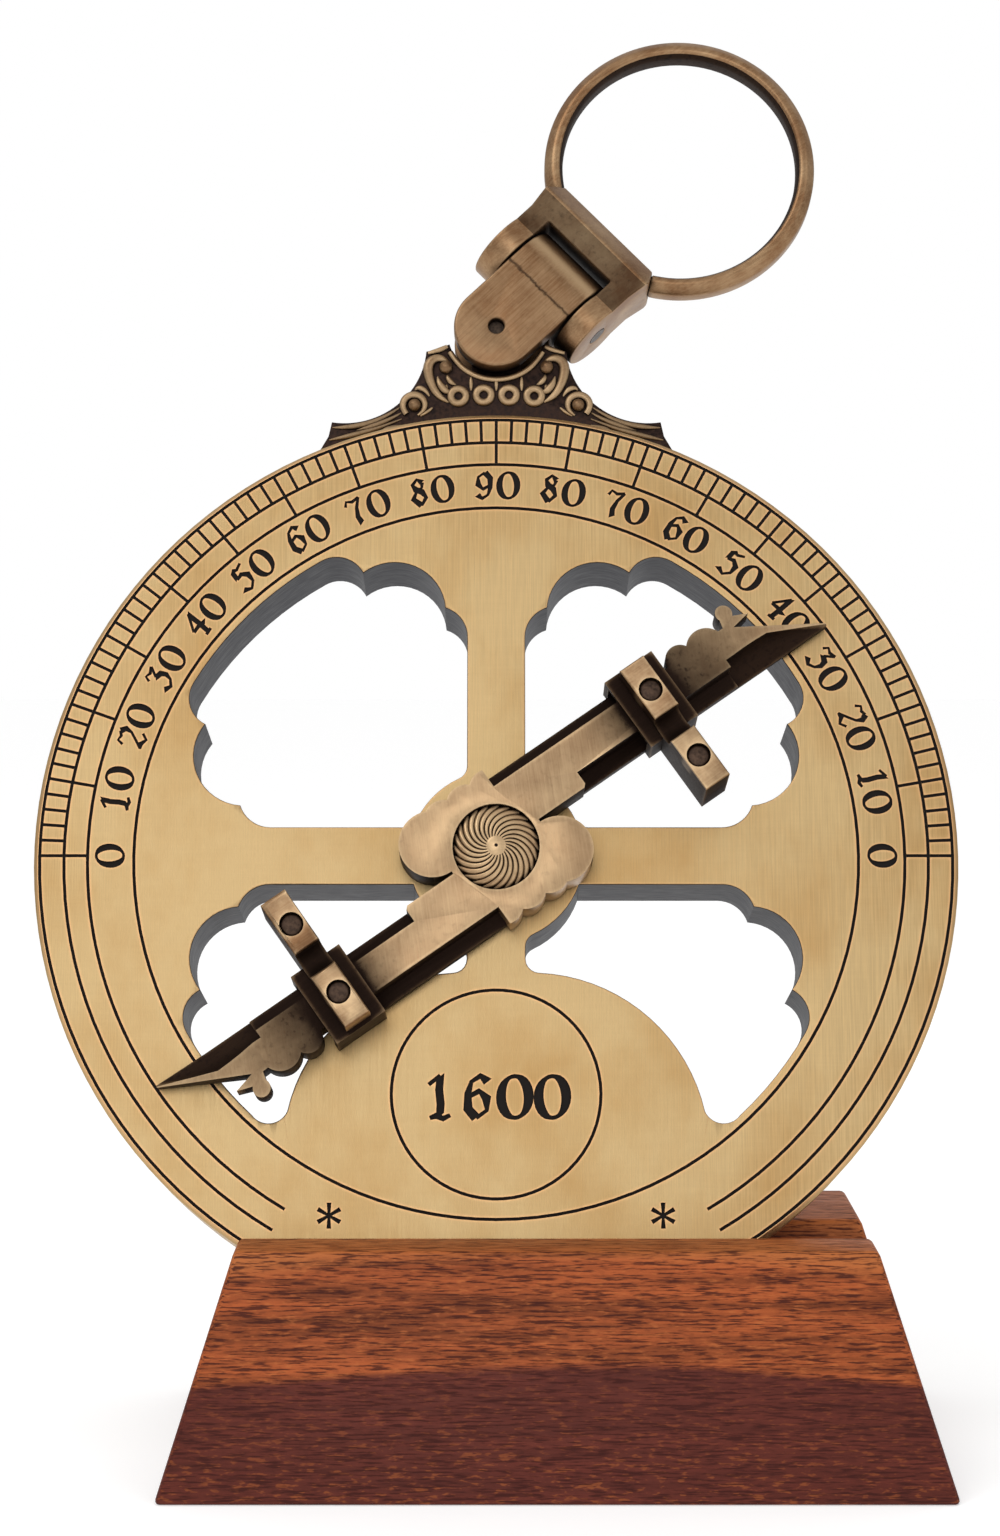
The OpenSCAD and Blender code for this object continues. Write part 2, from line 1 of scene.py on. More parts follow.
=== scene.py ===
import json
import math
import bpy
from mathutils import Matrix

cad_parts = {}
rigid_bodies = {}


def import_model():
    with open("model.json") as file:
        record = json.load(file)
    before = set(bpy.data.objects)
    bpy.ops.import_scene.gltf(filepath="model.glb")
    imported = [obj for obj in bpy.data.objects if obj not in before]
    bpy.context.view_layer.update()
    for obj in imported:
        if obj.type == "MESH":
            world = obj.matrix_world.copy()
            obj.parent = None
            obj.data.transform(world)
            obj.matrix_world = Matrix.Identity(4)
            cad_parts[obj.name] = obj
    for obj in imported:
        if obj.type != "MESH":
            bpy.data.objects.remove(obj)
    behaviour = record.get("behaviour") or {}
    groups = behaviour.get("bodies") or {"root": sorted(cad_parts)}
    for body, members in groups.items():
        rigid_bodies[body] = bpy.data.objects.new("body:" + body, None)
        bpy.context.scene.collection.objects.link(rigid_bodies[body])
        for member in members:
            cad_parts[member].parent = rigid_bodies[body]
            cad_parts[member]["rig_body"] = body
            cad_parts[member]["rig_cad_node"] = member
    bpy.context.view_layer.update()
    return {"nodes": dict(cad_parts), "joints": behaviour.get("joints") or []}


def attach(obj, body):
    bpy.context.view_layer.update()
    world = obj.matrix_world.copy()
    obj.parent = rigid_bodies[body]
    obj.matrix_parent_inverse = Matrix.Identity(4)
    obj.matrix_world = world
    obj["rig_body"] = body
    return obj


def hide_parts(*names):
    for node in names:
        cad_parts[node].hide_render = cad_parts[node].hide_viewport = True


bl_info = {
    "name": "Mariner's Astrolabe",
    "version": (1, 0, 0),
    "blender": (4, 5, 0),
    "location": "3D View > Sidebar > Astrolabe",
    "description": "Finishes a desk astrolabe and its wooden stand: engraving, relief, patina and wood",
    "category": "Add Mesh",
}

from contextlib import contextmanager

import bmesh
import bpy
from bpy.props import FloatProperty, FloatVectorProperty, IntProperty, PointerProperty
from mathutils import Matrix, Vector

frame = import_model()

MM = 0.001
JOINTS = {joint["name"]: joint for joint in frame["joints"]}


def frame_at(centre, right, out):
    """A matrix whose x runs right and whose z runs out, with its origin at centre."""
    return Matrix.Translation(centre) @ Matrix((right, out.cross(right), out)).transposed().to_4x4()


# The disc's own frame: right, up the face, and out of the face, from the centre of its front.
OUT = Vector(JOINTS["alidade_turn"]["axis"]).normalized()
FACE = frame_at(Vector(JOINTS["alidade_turn"]["pos_m"]), Vector((1, 0, 0)), OUT)
TILT = math.atan2(OUT.z, -OUT.y)

# The alidade's frame: along its upper arm, across it, and out of the face.
ARM_ANGLE = math.radians(35)
ARM = FACE @ Matrix.Rotation(ARM_ANGLE, 4, "Z")

# The shackle's frame: across it, along it, and out of the face, from its pin.
SHACKLE_PIN = Vector(JOINTS["shackle_swing"]["pos_m"])
ALONG = (Vector(JOINTS["ring_fold"]["pos_m"]) - SHACKLE_PIN).normalized()
LINK = frame_at(SHACKLE_PIN, ALONG.cross(OUT), OUT)

# The camera stands in front of the disc and looks a little down; the lights point at LIT_PLACE.
CAMERA_PLACE = (-0.0070, -0.4521, 0.1118)
CAMERA_DIP = math.radians(2.97)
LIT_PLACE = Vector((-0.005, 0.0, 0.085))

# Sizes of the CAD pieces that the finish follows, in millimetres in the frames above.
LIMB_RADIUS = 60.0
LIMB_THICKNESS = 12.0
GROOVE_DEPTH = 0.35
# the number in the lower circle, and the stars beside it, up the face from the pivot
DATE_UP = -31.4
STAR_SIDE, STAR_UP = 21.2, -46.5
# the throne's front, its notch round the shackle's pin, and the hollow on each of its sides
THRONE_FRONT = -3.0
PIN_UP = 72.8
NOTCH_BORDER = 6.95
THRONE_SIDE = (20.4, 70.75)
THRONE_SIDE_RADIUS = 11.0
# the link's casting seam and the band of painted highlight over it, up the shackle from its pin
SEAM_UP, HIGHLIGHT_UP = 7.9, 12.6
# the lower part of the yoke's bar, whose front gets painted shade
BAR_LOW, BAR_HIGH = 14.0, 18.6
# the ring's middle: past the yoke's pin, the barrel, its gap, the bar and the ring's open part
RING_UP = 10.1 + 5.2 + 0.4 + 5.6 + 16 * math.cos(math.radians(32))
# from the pivot to the middle of a vane
VANE_REACH = 27.4
ROSETTE_SEAT, ROSETTE_RISE, ROSETTE_RADIUS = 3.9, 3.0, 5.55


# ---------------------------------------------------------------- sizes and colours


def length(name, description, default, low, high):
    """A size that the user can change, given in millimetres."""
    return FloatProperty(name=name, description=description, unit="LENGTH",
                         default=default * MM, min=low * MM, max=high * MM)


def tint(name, description, default):
    """A colour that the user can change."""
    return FloatVectorProperty(name=name, description=description, default=default, subtype="COLOR")


class EngravingSettings(bpy.types.PropertyGroup):
    numeral_height: length("Numeral height", "Height of the degree numbers", 4.0, 2, 6)
    numeral_radius: length(
        "Numeral radius", "Distance of the degree numbers from the pivot", 50.1, 45, 52)
    nib_width: length(
        "Nib width", "Width of the broad pen that the numbers are drawn with", 0.88, 0.3, 1.2)
    depth: length("Depth", "Depth of the engraved numbers", 0.3, 0.1, 0.6)
    date: IntProperty(
        name="Number in the circle", description="Four-digit number engraved in the lower circle",
        default=1600, min=1000, max=9999)
    date_height: length(
        "Height of the lower number", "Height of the number in the lower circle", 6.0, 3, 8)
    star_size: length("Star size", "Width of the six-armed stars beside the lettering space", 3.3, 1, 5)
    enamel: tint("Filling", "Colour of the black filling in the engraving", (0.006, 0.0045, 0.004))


class BrassSettings(bpy.types.PropertyGroup):
    limb: tint("Limb brass", "Brushed brass of the graduated limb", (0.50, 0.352, 0.172))
    limb_warm: tint("Limb tint", "Warmer tint in patches of the limb", (0.42, 0.258, 0.104))
    # the near-black tone of the opening walls is painted shade
    wall: tint("Opening walls", "Unpolished walls of the four openings", (0.013, 0.013, 0.017))
    aged: tint("Aged brass", "Antiqued brass of the alidade, shackle and ring", (0.205, 0.106, 0.050))
    rubbed: tint(
        "Rubbed brass", "Bright brass where the antiquing is rubbed off", (0.55, 0.385, 0.220))
    # this colour also paints shade on the dark copies for shaded faces
    patina: tint("Patina", "Dark brown antiquing in the hollows", (0.018, 0.010, 0.007))
    edge_round: length("Edge rounding", "Rounding of the alidade's edges", 0.3, 0.05, 0.6)


class ThroneSettings(bpy.types.PropertyGroup):
    relief: length("Relief", "How far the scrolls stand out of the throne's face", 0.55, 0.2, 1.0)


class RosetteSettings(bpy.types.PropertyGroup):
    flutes: IntProperty(
        name="Flutes", description="Number of swirled flutes on the bolt's head",
        default=24, min=8, max=36)
    twist: FloatProperty(
        name="Twist", description="Angle that a flute turns through from centre to rim",
        default=math.radians(66), min=0, max=math.radians(180), unit="ROTATION")


class WoodSettings(bpy.types.PropertyGroup):
    upper: tint("Upper wood", "Reddish wood of the stand's upper half", (0.33, 0.075, 0.020))
    lower: tint("Lower wood", "Dark heartwood of the stand's lower half", (0.072, 0.0140, 0.0085))
    streak: tint("Streaks", "Dark pores and streaks", (0.040, 0.0065, 0.0045))
    edge_round: length("Edge rounding", "Rounding of the stand's edges", 0.7, 0.1, 2)


class StageSettings(bpy.types.PropertyGroup):
    floor: tint("Floor", "Colour of the pale floor", (0.86, 0.86, 0.86))
    glow: FloatProperty(
        name="Floor glow", description="Light that comes through the floor from below",
        default=0.32, min=0, max=1)
    sky: FloatProperty(
        name="Tent light", description="Strength of the even light all round",
        default=0.80, min=0, max=3)
    key: FloatProperty(
        name="Key light", description="Power of the large soft light above and to the left",
        default=1.6, min=0, max=20, unit="POWER")
    lens: FloatProperty(
        name="Lens", description="Focal length of the camera, in millimetres",
        default=82, min=20, max=200)


# ---------------------------------------------------------------- modelling helpers


def deselect():
    if bpy.context.object and bpy.context.object.mode != "OBJECT":
        bpy.ops.object.mode_set(mode="OBJECT")
    bpy.ops.object.select_all(action="DESELECT")


def pick(*pieces):
    """Selects only these pieces and makes the first one active."""
    deselect()
    for piece in pieces:
        piece.select_set(True)
    bpy.context.view_layer.objects.active = pieces[0]
    return pieces[0]


@contextmanager
def editing(piece, action="SELECT", mode="FACE"):
    """Edit mode on one piece, with all or nothing of it selected; gives its edit mesh."""
    pick(piece)
    bpy.ops.object.mode_set(mode="EDIT")
    bpy.ops.mesh.select_mode(type=mode)
    bpy.ops.mesh.select_all(action=action)
    yield bmesh.from_edit_mesh(piece.data)
    bpy.ops.object.mode_set(mode="OBJECT")


def choose(mesh, elements, test):
    """Selects the faces or edges of an edit mesh that pass a test."""
    for element in elements:
        element.select_set(bool(test(element)))
    mesh.select_flush_mode()


def apply(piece, kind, **settings):
    pick(piece)
    modifier = piece.modifiers.new(kind.title(), kind)
    for name, value in settings.items():
        setattr(modifier, name, value)
    bpy.ops.object.modifier_apply(modifier=modifier.name)
    return piece


def place(piece, matrix):
    """Puts a piece where matrix says and leaves its object at the origin."""
    pick(piece)
    piece.matrix_world = matrix
    bpy.ops.object.transform_apply(location=True, rotation=True, scale=True)
    return piece


def named(piece, name):
    piece.name = name
    piece.data.name = name
    return piece


def copy_of(node, name, flat_angle=0.4):
    """A welded copy of a CAD node, with its flat faces whole again."""
    pick(frame["nodes"][node])
    bpy.ops.object.duplicate(linked=False)
    piece = named(bpy.context.object, name)
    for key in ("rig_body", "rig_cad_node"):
        if key in piece:
            del piece[key]
    piece.parent = None
    piece.data.materials.clear()
    bpy.ops.mesh.customdata_custom_splitnormals_clear()
    with editing(piece):
        bpy.ops.mesh.remove_doubles(threshold=0.002 * MM)
        if flat_angle:
            bpy.ops.mesh.dissolve_limited(angle_limit=math.radians(flat_angle))
    return piece


def twin(piece, name, matrix):
    """A copy of a piece with its own mesh, moved by matrix."""
    pick(piece)
    bpy.ops.object.duplicate(linked=False)
    return place(named(bpy.context.object, name), matrix)


def join(pieces, name):
    pick(*pieces)
    if len(pieces) > 1:
        bpy.ops.object.join()
    return named(bpy.context.object, name)


def mend(piece):
    """Merges doubled points and turns every face outwards."""
    with editing(piece):
        bpy.ops.mesh.remove_doubles(threshold=0.001 * MM)
        bpy.ops.mesh.normals_make_consistent(inside=False)
    return piece


def smooth(piece, angle=32):
    pick(piece)
    bpy.ops.object.shade_smooth_by_angle(angle=math.radians(angle))
    return piece


def soften(piece, width, segments=2, angle=32):
    """Rounds every edge sharper than angle."""
    apply(piece, "BEVEL", width=width, segments=segments, limit_method="ANGLE",
          angle_limit=math.radians(angle), use_clamp_overlap=True, miter_outer="MITER_ARC")
    return smooth(piece, 40)


def paint(piece, main, other, test):
    """Gives a piece its main material, and the other one to the faces that pass a test."""
    piece.data.materials.append(main)
    piece.data.materials.append(other)
    piece.active_material_index = 1
    with editing(piece, "DESELECT") as mesh:
        choose(mesh, mesh.faces, test)
        bpy.ops.object.material_slot_assign()


def finish(piece, body, slot, material, *stands_for):
    """Gives a piece its body and its material, and hides the CAD nodes that it stands for; slot is not
    used.
    """
    if not piece.data.materials:
        piece.data.materials.append(material)
    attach(piece, body)
    if stands_for:
        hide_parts(*stands_for)
    return piece


def refinish(node, material):
    """Gives a CAD node that stays as it is a material of this scene."""
    materials = frame["nodes"][node].data.materials
    materials.clear()
    materials.append(material)


# ---------------------------------------------------------------- pen strokes


def rungs_along(points, nib, least):
    """Each point of a stroke with half its width there, as a broad nib makes it, at least least."""
    rungs = []
    for index, point in enumerate(points):
        way = (points[min(index + 1, len(points) - 1)] - points[max(index - 1, 0)]).normalized()
        side = Vector((-way.y, way.x))
        across = nib.dot(side)
        half = side * max(abs(across), least) / 2
        if index in (0, len(points) - 1) and abs(across) > 0.7 * nib.length:
            half = nib / 2 if across > 0 else -nib / 2
        rungs.append((point, half))
    return rungs


def draw(rungs, depth, name, closed=False):
    """A flat stroke made by dragging one edge along its rungs, then given its depth."""
    deselect()
    bpy.ops.mesh.primitive_plane_add(size=2)
    stroke = named(bpy.context.object, name)
    with editing(stroke, "DESELECT", "VERT") as mesh:
        choose(mesh, mesh.verts, lambda vert: vert.co.y > 0)
        bpy.ops.mesh.delete(type="VERT")
        bpy.ops.mesh.select_all(action="SELECT")
        bpy.ops.transform.translate(value=(0, 1, 0))
        last, reach = Vector((0, 0)), Vector((1, 0))
        for index, (point, half) in enumerate(rungs):
            step = (point - last).to_3d()
            if index == 0:
                bpy.ops.transform.translate(value=step)
            else:
                bpy.ops.mesh.extrude_region_move(TRANSFORM_OT_translate={"value": step})
            centre = point.to_3d()
            turn = reach.angle_signed(half)
            bpy.ops.transform.rotate(value=turn, orient_axis="Z", center_override=centre)
            grow = half.length / reach.length
            bpy.ops.transform.resize(value=(grow, grow, grow), center_override=centre)
            last, reach = point, half
        bpy.ops.mesh.select_all(action="SELECT")
        if closed:
            bpy.ops.mesh.remove_doubles(threshold=0.01 * MM)
    apply(stroke, "SOLIDIFY", thickness=depth, offset=0)
    return mend(stroke)


# Strokes of each number, in quarters of its height, from its middle.
STROKES = {
    "1": [[(-.95, 1.05), (-.45, 1.45), (.05, 1.85)], [(.05, 1.8), (-.05, .6), (.08, -.6), (.02, -1.65)],
          [(-.85, -1.8), (-.3, -1.6), (.3, -1.85), (.9, -1.55)]],
    "2": [[(-1.15, .85), (-.8, 1.6), (-.15, 1.4), (.45, 1.75)],
          [(.45, 1.75), (1.0, 1.1), (.75, .3), (-.1, -.65), (-.95, -1.55)],
          [(-1.0, -1.5), (-.3, -1.35), (.45, -1.85), (1.1, -1.15)]],
    "3": [[(-1.0, .95), (-.65, 1.65), (0, 1.4), (.85, 1.8)], [(.85, 1.75), (-.05, .5)],
          [(-.15, .5), (.7, .2), (.95, -.5), (.65, -1.3), (-.1, -1.85), (-1.0, -1.35)]],
    "4": [[(.35, 1.85), (-.35, .7), (-1.05, -.4)], [(-1.05, -.45), (-.1, -.3), (1.1, -.5)],
          [(.3, 1.85), (.35, 0), (.3, -1.75)], [(-.2, -1.85), (.85, -1.7)]],
    "5": [[(-.7, 1.6), (.05, 1.4), (.95, 1.85)], [(-.65, 1.6), (-.7, .35)],
          [(-.75, .25), (.1, .55), (.85, 0), (.8, -1.1), (.05, -1.85), (-1.0, -1.4)]],
    "6": [[(.9, 1.3), (.25, 1.8), (-.5, 1.3), (-.8, .3), (-.8, -1.0), (-.1, -1.8)],
          [(-.1, -1.8), (.8, -1.15), (.8, -.1), (.15, .5), (-1.05, -.15)]],
    "7": [[(-1.1, .9), (-.8, 1.6), (-.05, 1.35), (.95, 1.75)],
          [(.95, 1.75), (.3, .45), (.05, -.8), (.3, -1.85)]],
    "8": [[(.65, 1.35), (0, 1.85), (-.65, 1.2), (-.35, .5), (.45, .05), (.85, -.8), (.1, -1.8)],
          [(.65, 1.35), (.5, .65), (-.3, .15), (-.85, -.75), (.1, -1.8)]],
    "9": [[(-.9, -1.3), (-.25, -1.8), (.5, -1.3), (.8, -.3), (.8, 1.0), (.1, 1.8)],
          [(.1, 1.8), (-.8, 1.15), (-.8, .1), (-.15, -.5), (1.05, .15)]],
}


# the space from one digit to the next, in heights of a digit
DIGIT_PITCH = 0.80
# how the pen is held for the numbers and for the nought, and its thinnest line in widths of the nib
NIB_SLANT = math.radians(38)
NOUGHT_SLANT = math.radians(12)
HAIRLINE = 0.42


def nought(unit, nib_width, depth):
    """An upright oval, thick at its sides and thin at its top and foot."""
    nib = Vector((math.cos(NOUGHT_SLANT), math.sin(NOUGHT_SLANT))) * nib_width
    rungs = []
    for turn in [math.tau * step / 28 for step in range(29)]:
        point = Vector((1.18 * math.cos(turn), 1.78 * math.sin(turn))) * unit
        out = Vector((math.cos(turn), math.sin(turn) * 0.8)).normalized()
        width = max(abs(nib.dot(out)), HAIRLINE * nib_width)
        rungs.append((point, out * width / 2))
    return draw(rungs, depth, "numeral_0", closed=True)


def weld(strokes, name):
    """Makes one solid of strokes that cross each other."""
    whole = join(strokes, name)
    with editing(whole):
        bpy.ops.mesh.intersect_boolean(operation="UNION", use_swap=False, use_self=True, solver="EXACT")
    return mend(whole)


def numeral(digit, height, nib_width, depth):
    """One number as a solid to cut with, centred at the origin."""
    unit = height / 4
    if digit == "0":
        return nought(unit, nib_width, depth)
    nib = Vector((math.cos(NIB_SLANT), math.sin(NIB_SLANT))) * nib_width
    strokes = []
    for index, stroke in enumerate(STROKES[digit]):
        points = [Vector(point) * unit for point in stroke]
        strokes.append(draw(rungs_along(points, nib, HAIRLINE * nib_width), depth, f"stroke_{index}"))
    return weld(strokes, f"numeral_{digit}")


def star(size, depth):
    """Three bars across each other, wider at their ends, as a solid to cut with."""
    arms = []
    for index in range(3):
        turn = math.radians(90 + 60 * index)
        way = Vector((math.cos(turn), math.sin(turn))) * size / 2
        side = Vector((-way.y, way.x)).normalized() * size * 0.062
        points = [(-way, side * 1.5), (way * 0, side * 0.8), (way, side * 1.5)]
        arms.append(draw(points, depth, f"arm_{index}"))
    return weld(arms, "star")


# ---------------------------------------------------------------- materials


class Nodes:
    """A short way to write a node tree."""

    def __init__(self, name):
        self.material = bpy.data.materials.new(name)
        self.material.use_nodes = True
        self.tree = self.material.node_tree
        self.tree.nodes.clear()
        self.shader = self.add("ShaderNodeBsdfPrincipled")
        output = self.add("ShaderNodeOutputMaterial")
        self.link(self.shader.outputs["BSDF"], output.inputs["Surface"])

    def add(self, kind, **settings):
        node = self.tree.nodes.new(kind)
        for key, value in settings.items():
            setattr(node, key, value)
        return node

    def link(self, source, target):
        self.tree.links.new(source, target)

    def put(self, value, target):
        if hasattr(value, "is_linked") and hasattr(value, "node"):
            self.link(value, target)
        else:
            target.default_value = value

    def place(self, scale, tilt=0.0, offset=(0, 0, 0)):
        """Object coordinates in units of scale, with the disc's lean taken out."""
        coords = self.add("ShaderNodeTexCoord")
        mapping = self.add("ShaderNodeMapping", vector_type="TEXTURE")
        self.link(coords.outputs["Object"], mapping.inputs["Vector"])
        mapping.inputs["Location"].default_value = offset
        mapping.inputs["Rotation"].default_value = (-tilt, 0, 0)
        mapping.inputs["Scale"].default_value = scale
        return mapping.outputs["Vector"]

    def noise(self, vector, scale=1.0, detail=3.0, roughness=0.55):
        node = self.add("ShaderNodeTexNoise")
        self.link(vector, node.inputs["Vector"])
        node.inputs["Scale"].default_value = scale
        node.inputs["Detail"].default_value = detail
        node.inputs["Roughness"].default_value = roughness
        return node.outputs["Fac"]

    def span(self, value, low, high, to_low=0.0, to_high=1.0):
        node = self.add("ShaderNodeMapRange", clamp=True)
        self.link(value, node.inputs["Value"])
        node.inputs["From Min"].default_value = low
        node.inputs["From Max"].default_value = high
        node.inputs["To Min"].default_value = to_low
        node.inputs["To Max"].default_value = to_high
        return node.outputs["Result"]

    def axes(self, vector):
        """The three parts of a place."""
        node = self.add("ShaderNodeSeparateXYZ")
        self.link(vector, node.inputs[0])
        return node.outputs

    def maths(self, operation, first, second):
        node = self.add("ShaderNodeMath", operation=operation, use_clamp=False)
        self.put(first, node.inputs[0])
        self.put(second, node.inputs[1])
        return node.outputs[0]

    def plus(self, first, second):
        return self.maths("ADD", first, second)

    def minus(self, first, second):
        return self.maths("SUBTRACT", first, second)

    def times(self, first, second):
        return self.maths("MULTIPLY", first, second)

    def size(self, value):
        """A value without its sign."""
        return self.maths("ABSOLUTE", value, 0.0)

    def mix(self, factor, first, second, blend="MIX"):
        node = self.add("ShaderNodeMix", data_type="RGBA", blend_type=blend)
        self.put(factor, node.inputs[0])
        for value, socket in ((first, node.inputs[6]), (second, node.inputs[7])):
            self.put(value if hasattr(value, "node") else (*value, 1.0), socket)
        return node.outputs[2]

    def hollows(self, distance, inside=False):
        """How open the surface is: one on open faces, less in hollows (or on edges, inside)."""
        node = self.add("ShaderNodeAmbientOcclusion", samples=8, inside=inside)
        node.inputs["Distance"].default_value = distance
        return node.outputs["AO"]

    def bump(self, height, strength, distance, normal=None):
        node = self.add("ShaderNodeBump")
        self.link(height, node.inputs["Height"])
        node.inputs["Strength"].default_value = strength
        node.inputs["Distance"].default_value = distance
        if normal is not None:
            self.link(normal, node.inputs["Normal"])
        return node.outputs["Normal"]

    def shade(self, colour, metallic, roughness, normal=None):
        self.put(colour if hasattr(colour, "node") else (*colour, 1.0), self.shader.inputs["Base Color"])
        self.shader.inputs["Metallic"].default_value = metallic
        self.put(roughness, self.shader.inputs["Roughness"])
        if normal is not None:
            self.link(normal, self.shader.inputs["Normal"])
        return self.material


def scaled(tone, factor):
    return tuple(part * factor for part in tone)


def brushed_limb(brass):
    """Satin brass brushed up the face, in slightly uneven tones."""
    n = Nodes("brushed_limb_brass")
    grain = n.noise(n.place((0.22 * MM, 0.22 * MM, 9 * MM), TILT), detail=4, roughness=0.7)
    fine = n.noise(n.place((0.08 * MM, 0.08 * MM, 3 * MM), TILT), detail=2)
    cross = n.noise(n.place((7 * MM, 0.3 * MM, 0.3 * MM), TILT), detail=3)
    patches = n.noise(n.place((16 * MM, 16 * MM, 22 * MM), TILT), detail=4, roughness=0.6)
    colour = n.mix(n.span(patches, 0.42, 0.72), brass.limb, brass.limb_warm)
    streak = n.span(grain, 0.3, 0.72, 0.70, 1.12)
    streak = n.times(streak, n.span(cross, 0.3, 0.7, 0.975, 1.015))
    grey = n.add("ShaderNodeCombineColor")
    for index in range(3):
        n.link(streak, grey.inputs[index])
    colour = n.mix(0.85, colour, grey.outputs[0], "MULTIPLY")
    edge = n.span(n.hollows(0.5 * MM, inside=True), 0.55, 0.9, 1.0, 0.0)
    colour = n.mix(n.times(edge, 0.55), colour, (0.75, 0.42, 0.20))
    rough = n.span(grain, 0.3, 0.7, 0.34, 0.50)
    height = n.plus(grain, n.times(fine, 0.5))
    return n.shade(colour, 1.0, rough, n.bump(height, 0.22, 0.02 * MM))


def filled_groove(engraving):
    """Black filling, dull and a little uneven."""
    n = Nodes("black_filling")
    grains = n.noise(n.place((0.3 * MM,) * 3), detail=2)
    colour = n.mix(grains, engraving.enamel, scaled(engraving.enamel, 3))
    n.shader.inputs["Specular IOR Level"].default_value = 0.12
    return n.shade(colour, 0.0, n.span(grains, 0.3, 0.7, 0.6, 0.8), n.bump(grains, 0.3, 0.02 * MM))


def raw_wall(brass):
    """Dull grey metal, near black, on the walls of the four openings: painted shade, streaked with fine
    lines.
    """
    n = Nodes("opening_wall_painted_shade")
    lines = n.noise(n.place((2.5 * MM, 0.25 * MM, 2.5 * MM), TILT), detail=3)
    colour = n.mix(n.span(lines, 0.3, 0.7), brass.wall, scaled(brass.wall, 1.9))
    return n.shade(colour, 0.96, n.span(lines, 0.3, 0.7, 0.42, 0.6), n.bump(lines, 0.2, 0.03 * MM))


def spun(n, angle, scale=(1, 1, 1)):
    """Places on the disc's face, turned by angle and in units of scale."""
    spin = n.add("ShaderNodeMapping", vector_type="TEXTURE")
    spin.inputs["Rotation"].default_value = (0, -angle, 0)
    spin.inputs["Scale"].default_value = scale
    n.link(n.place((1, 1, 1), TILT, FACE.translation), spin.inputs["Vector"])
    return spin.outputs["Vector"]


def dirt_by_vanes(n, patches):
    """Darkening round the vanes on the alidade, partly antiquing that the polishing doesn't reach and
    partly painted shade; it reaches further out than in towards the hub, and a little lies on the tips.
    """
    along = n.size(n.axes(spun(n, ARM_ANGLE))[0])
    past = n.minus(along, VANE_REACH * MM)
    away = n.maths("MAXIMUM", past, n.times(past, -1.8))
    away = n.plus(away, n.times(n.minus(patches, 0.5), 6 * MM))
    return n.plus(n.span(away, 4.5 * MM, 17 * MM, 0.95, 0.0), n.span(along, 33 * MM, 40 * MM, 0.0, 0.12))


def link_seam(n, patches, specks):
    """How dark the link's rough casting seam is, and how far a point is from the band of painted
    highlight above it.
    """
    own = n.add("ShaderNodeMapping", vector_type="TEXTURE")
    own.inputs["Location"].default_value = LINK.translation
    own.inputs["Rotation"].default_value = LINK.to_euler()
    n.link(n.add("ShaderNodeTexCoord").outputs["Object"], own.inputs["Vector"])
    up = n.axes(own.outputs["Vector"])[1]
    rough_up = n.plus(up, n.times(n.minus(specks, 0.5), 0.9 * MM))
    off = n.size(n.minus(rough_up, SEAM_UP * MM))
    crack = n.times(n.span(off, 0.06 * MM, 0.32 * MM, 0.7, 0.0), n.span(patches, 0.35, 0.5, 0.4, 1.0))
    return crack, n.size(n.minus(up, HIGHLIGHT_UP * MM))


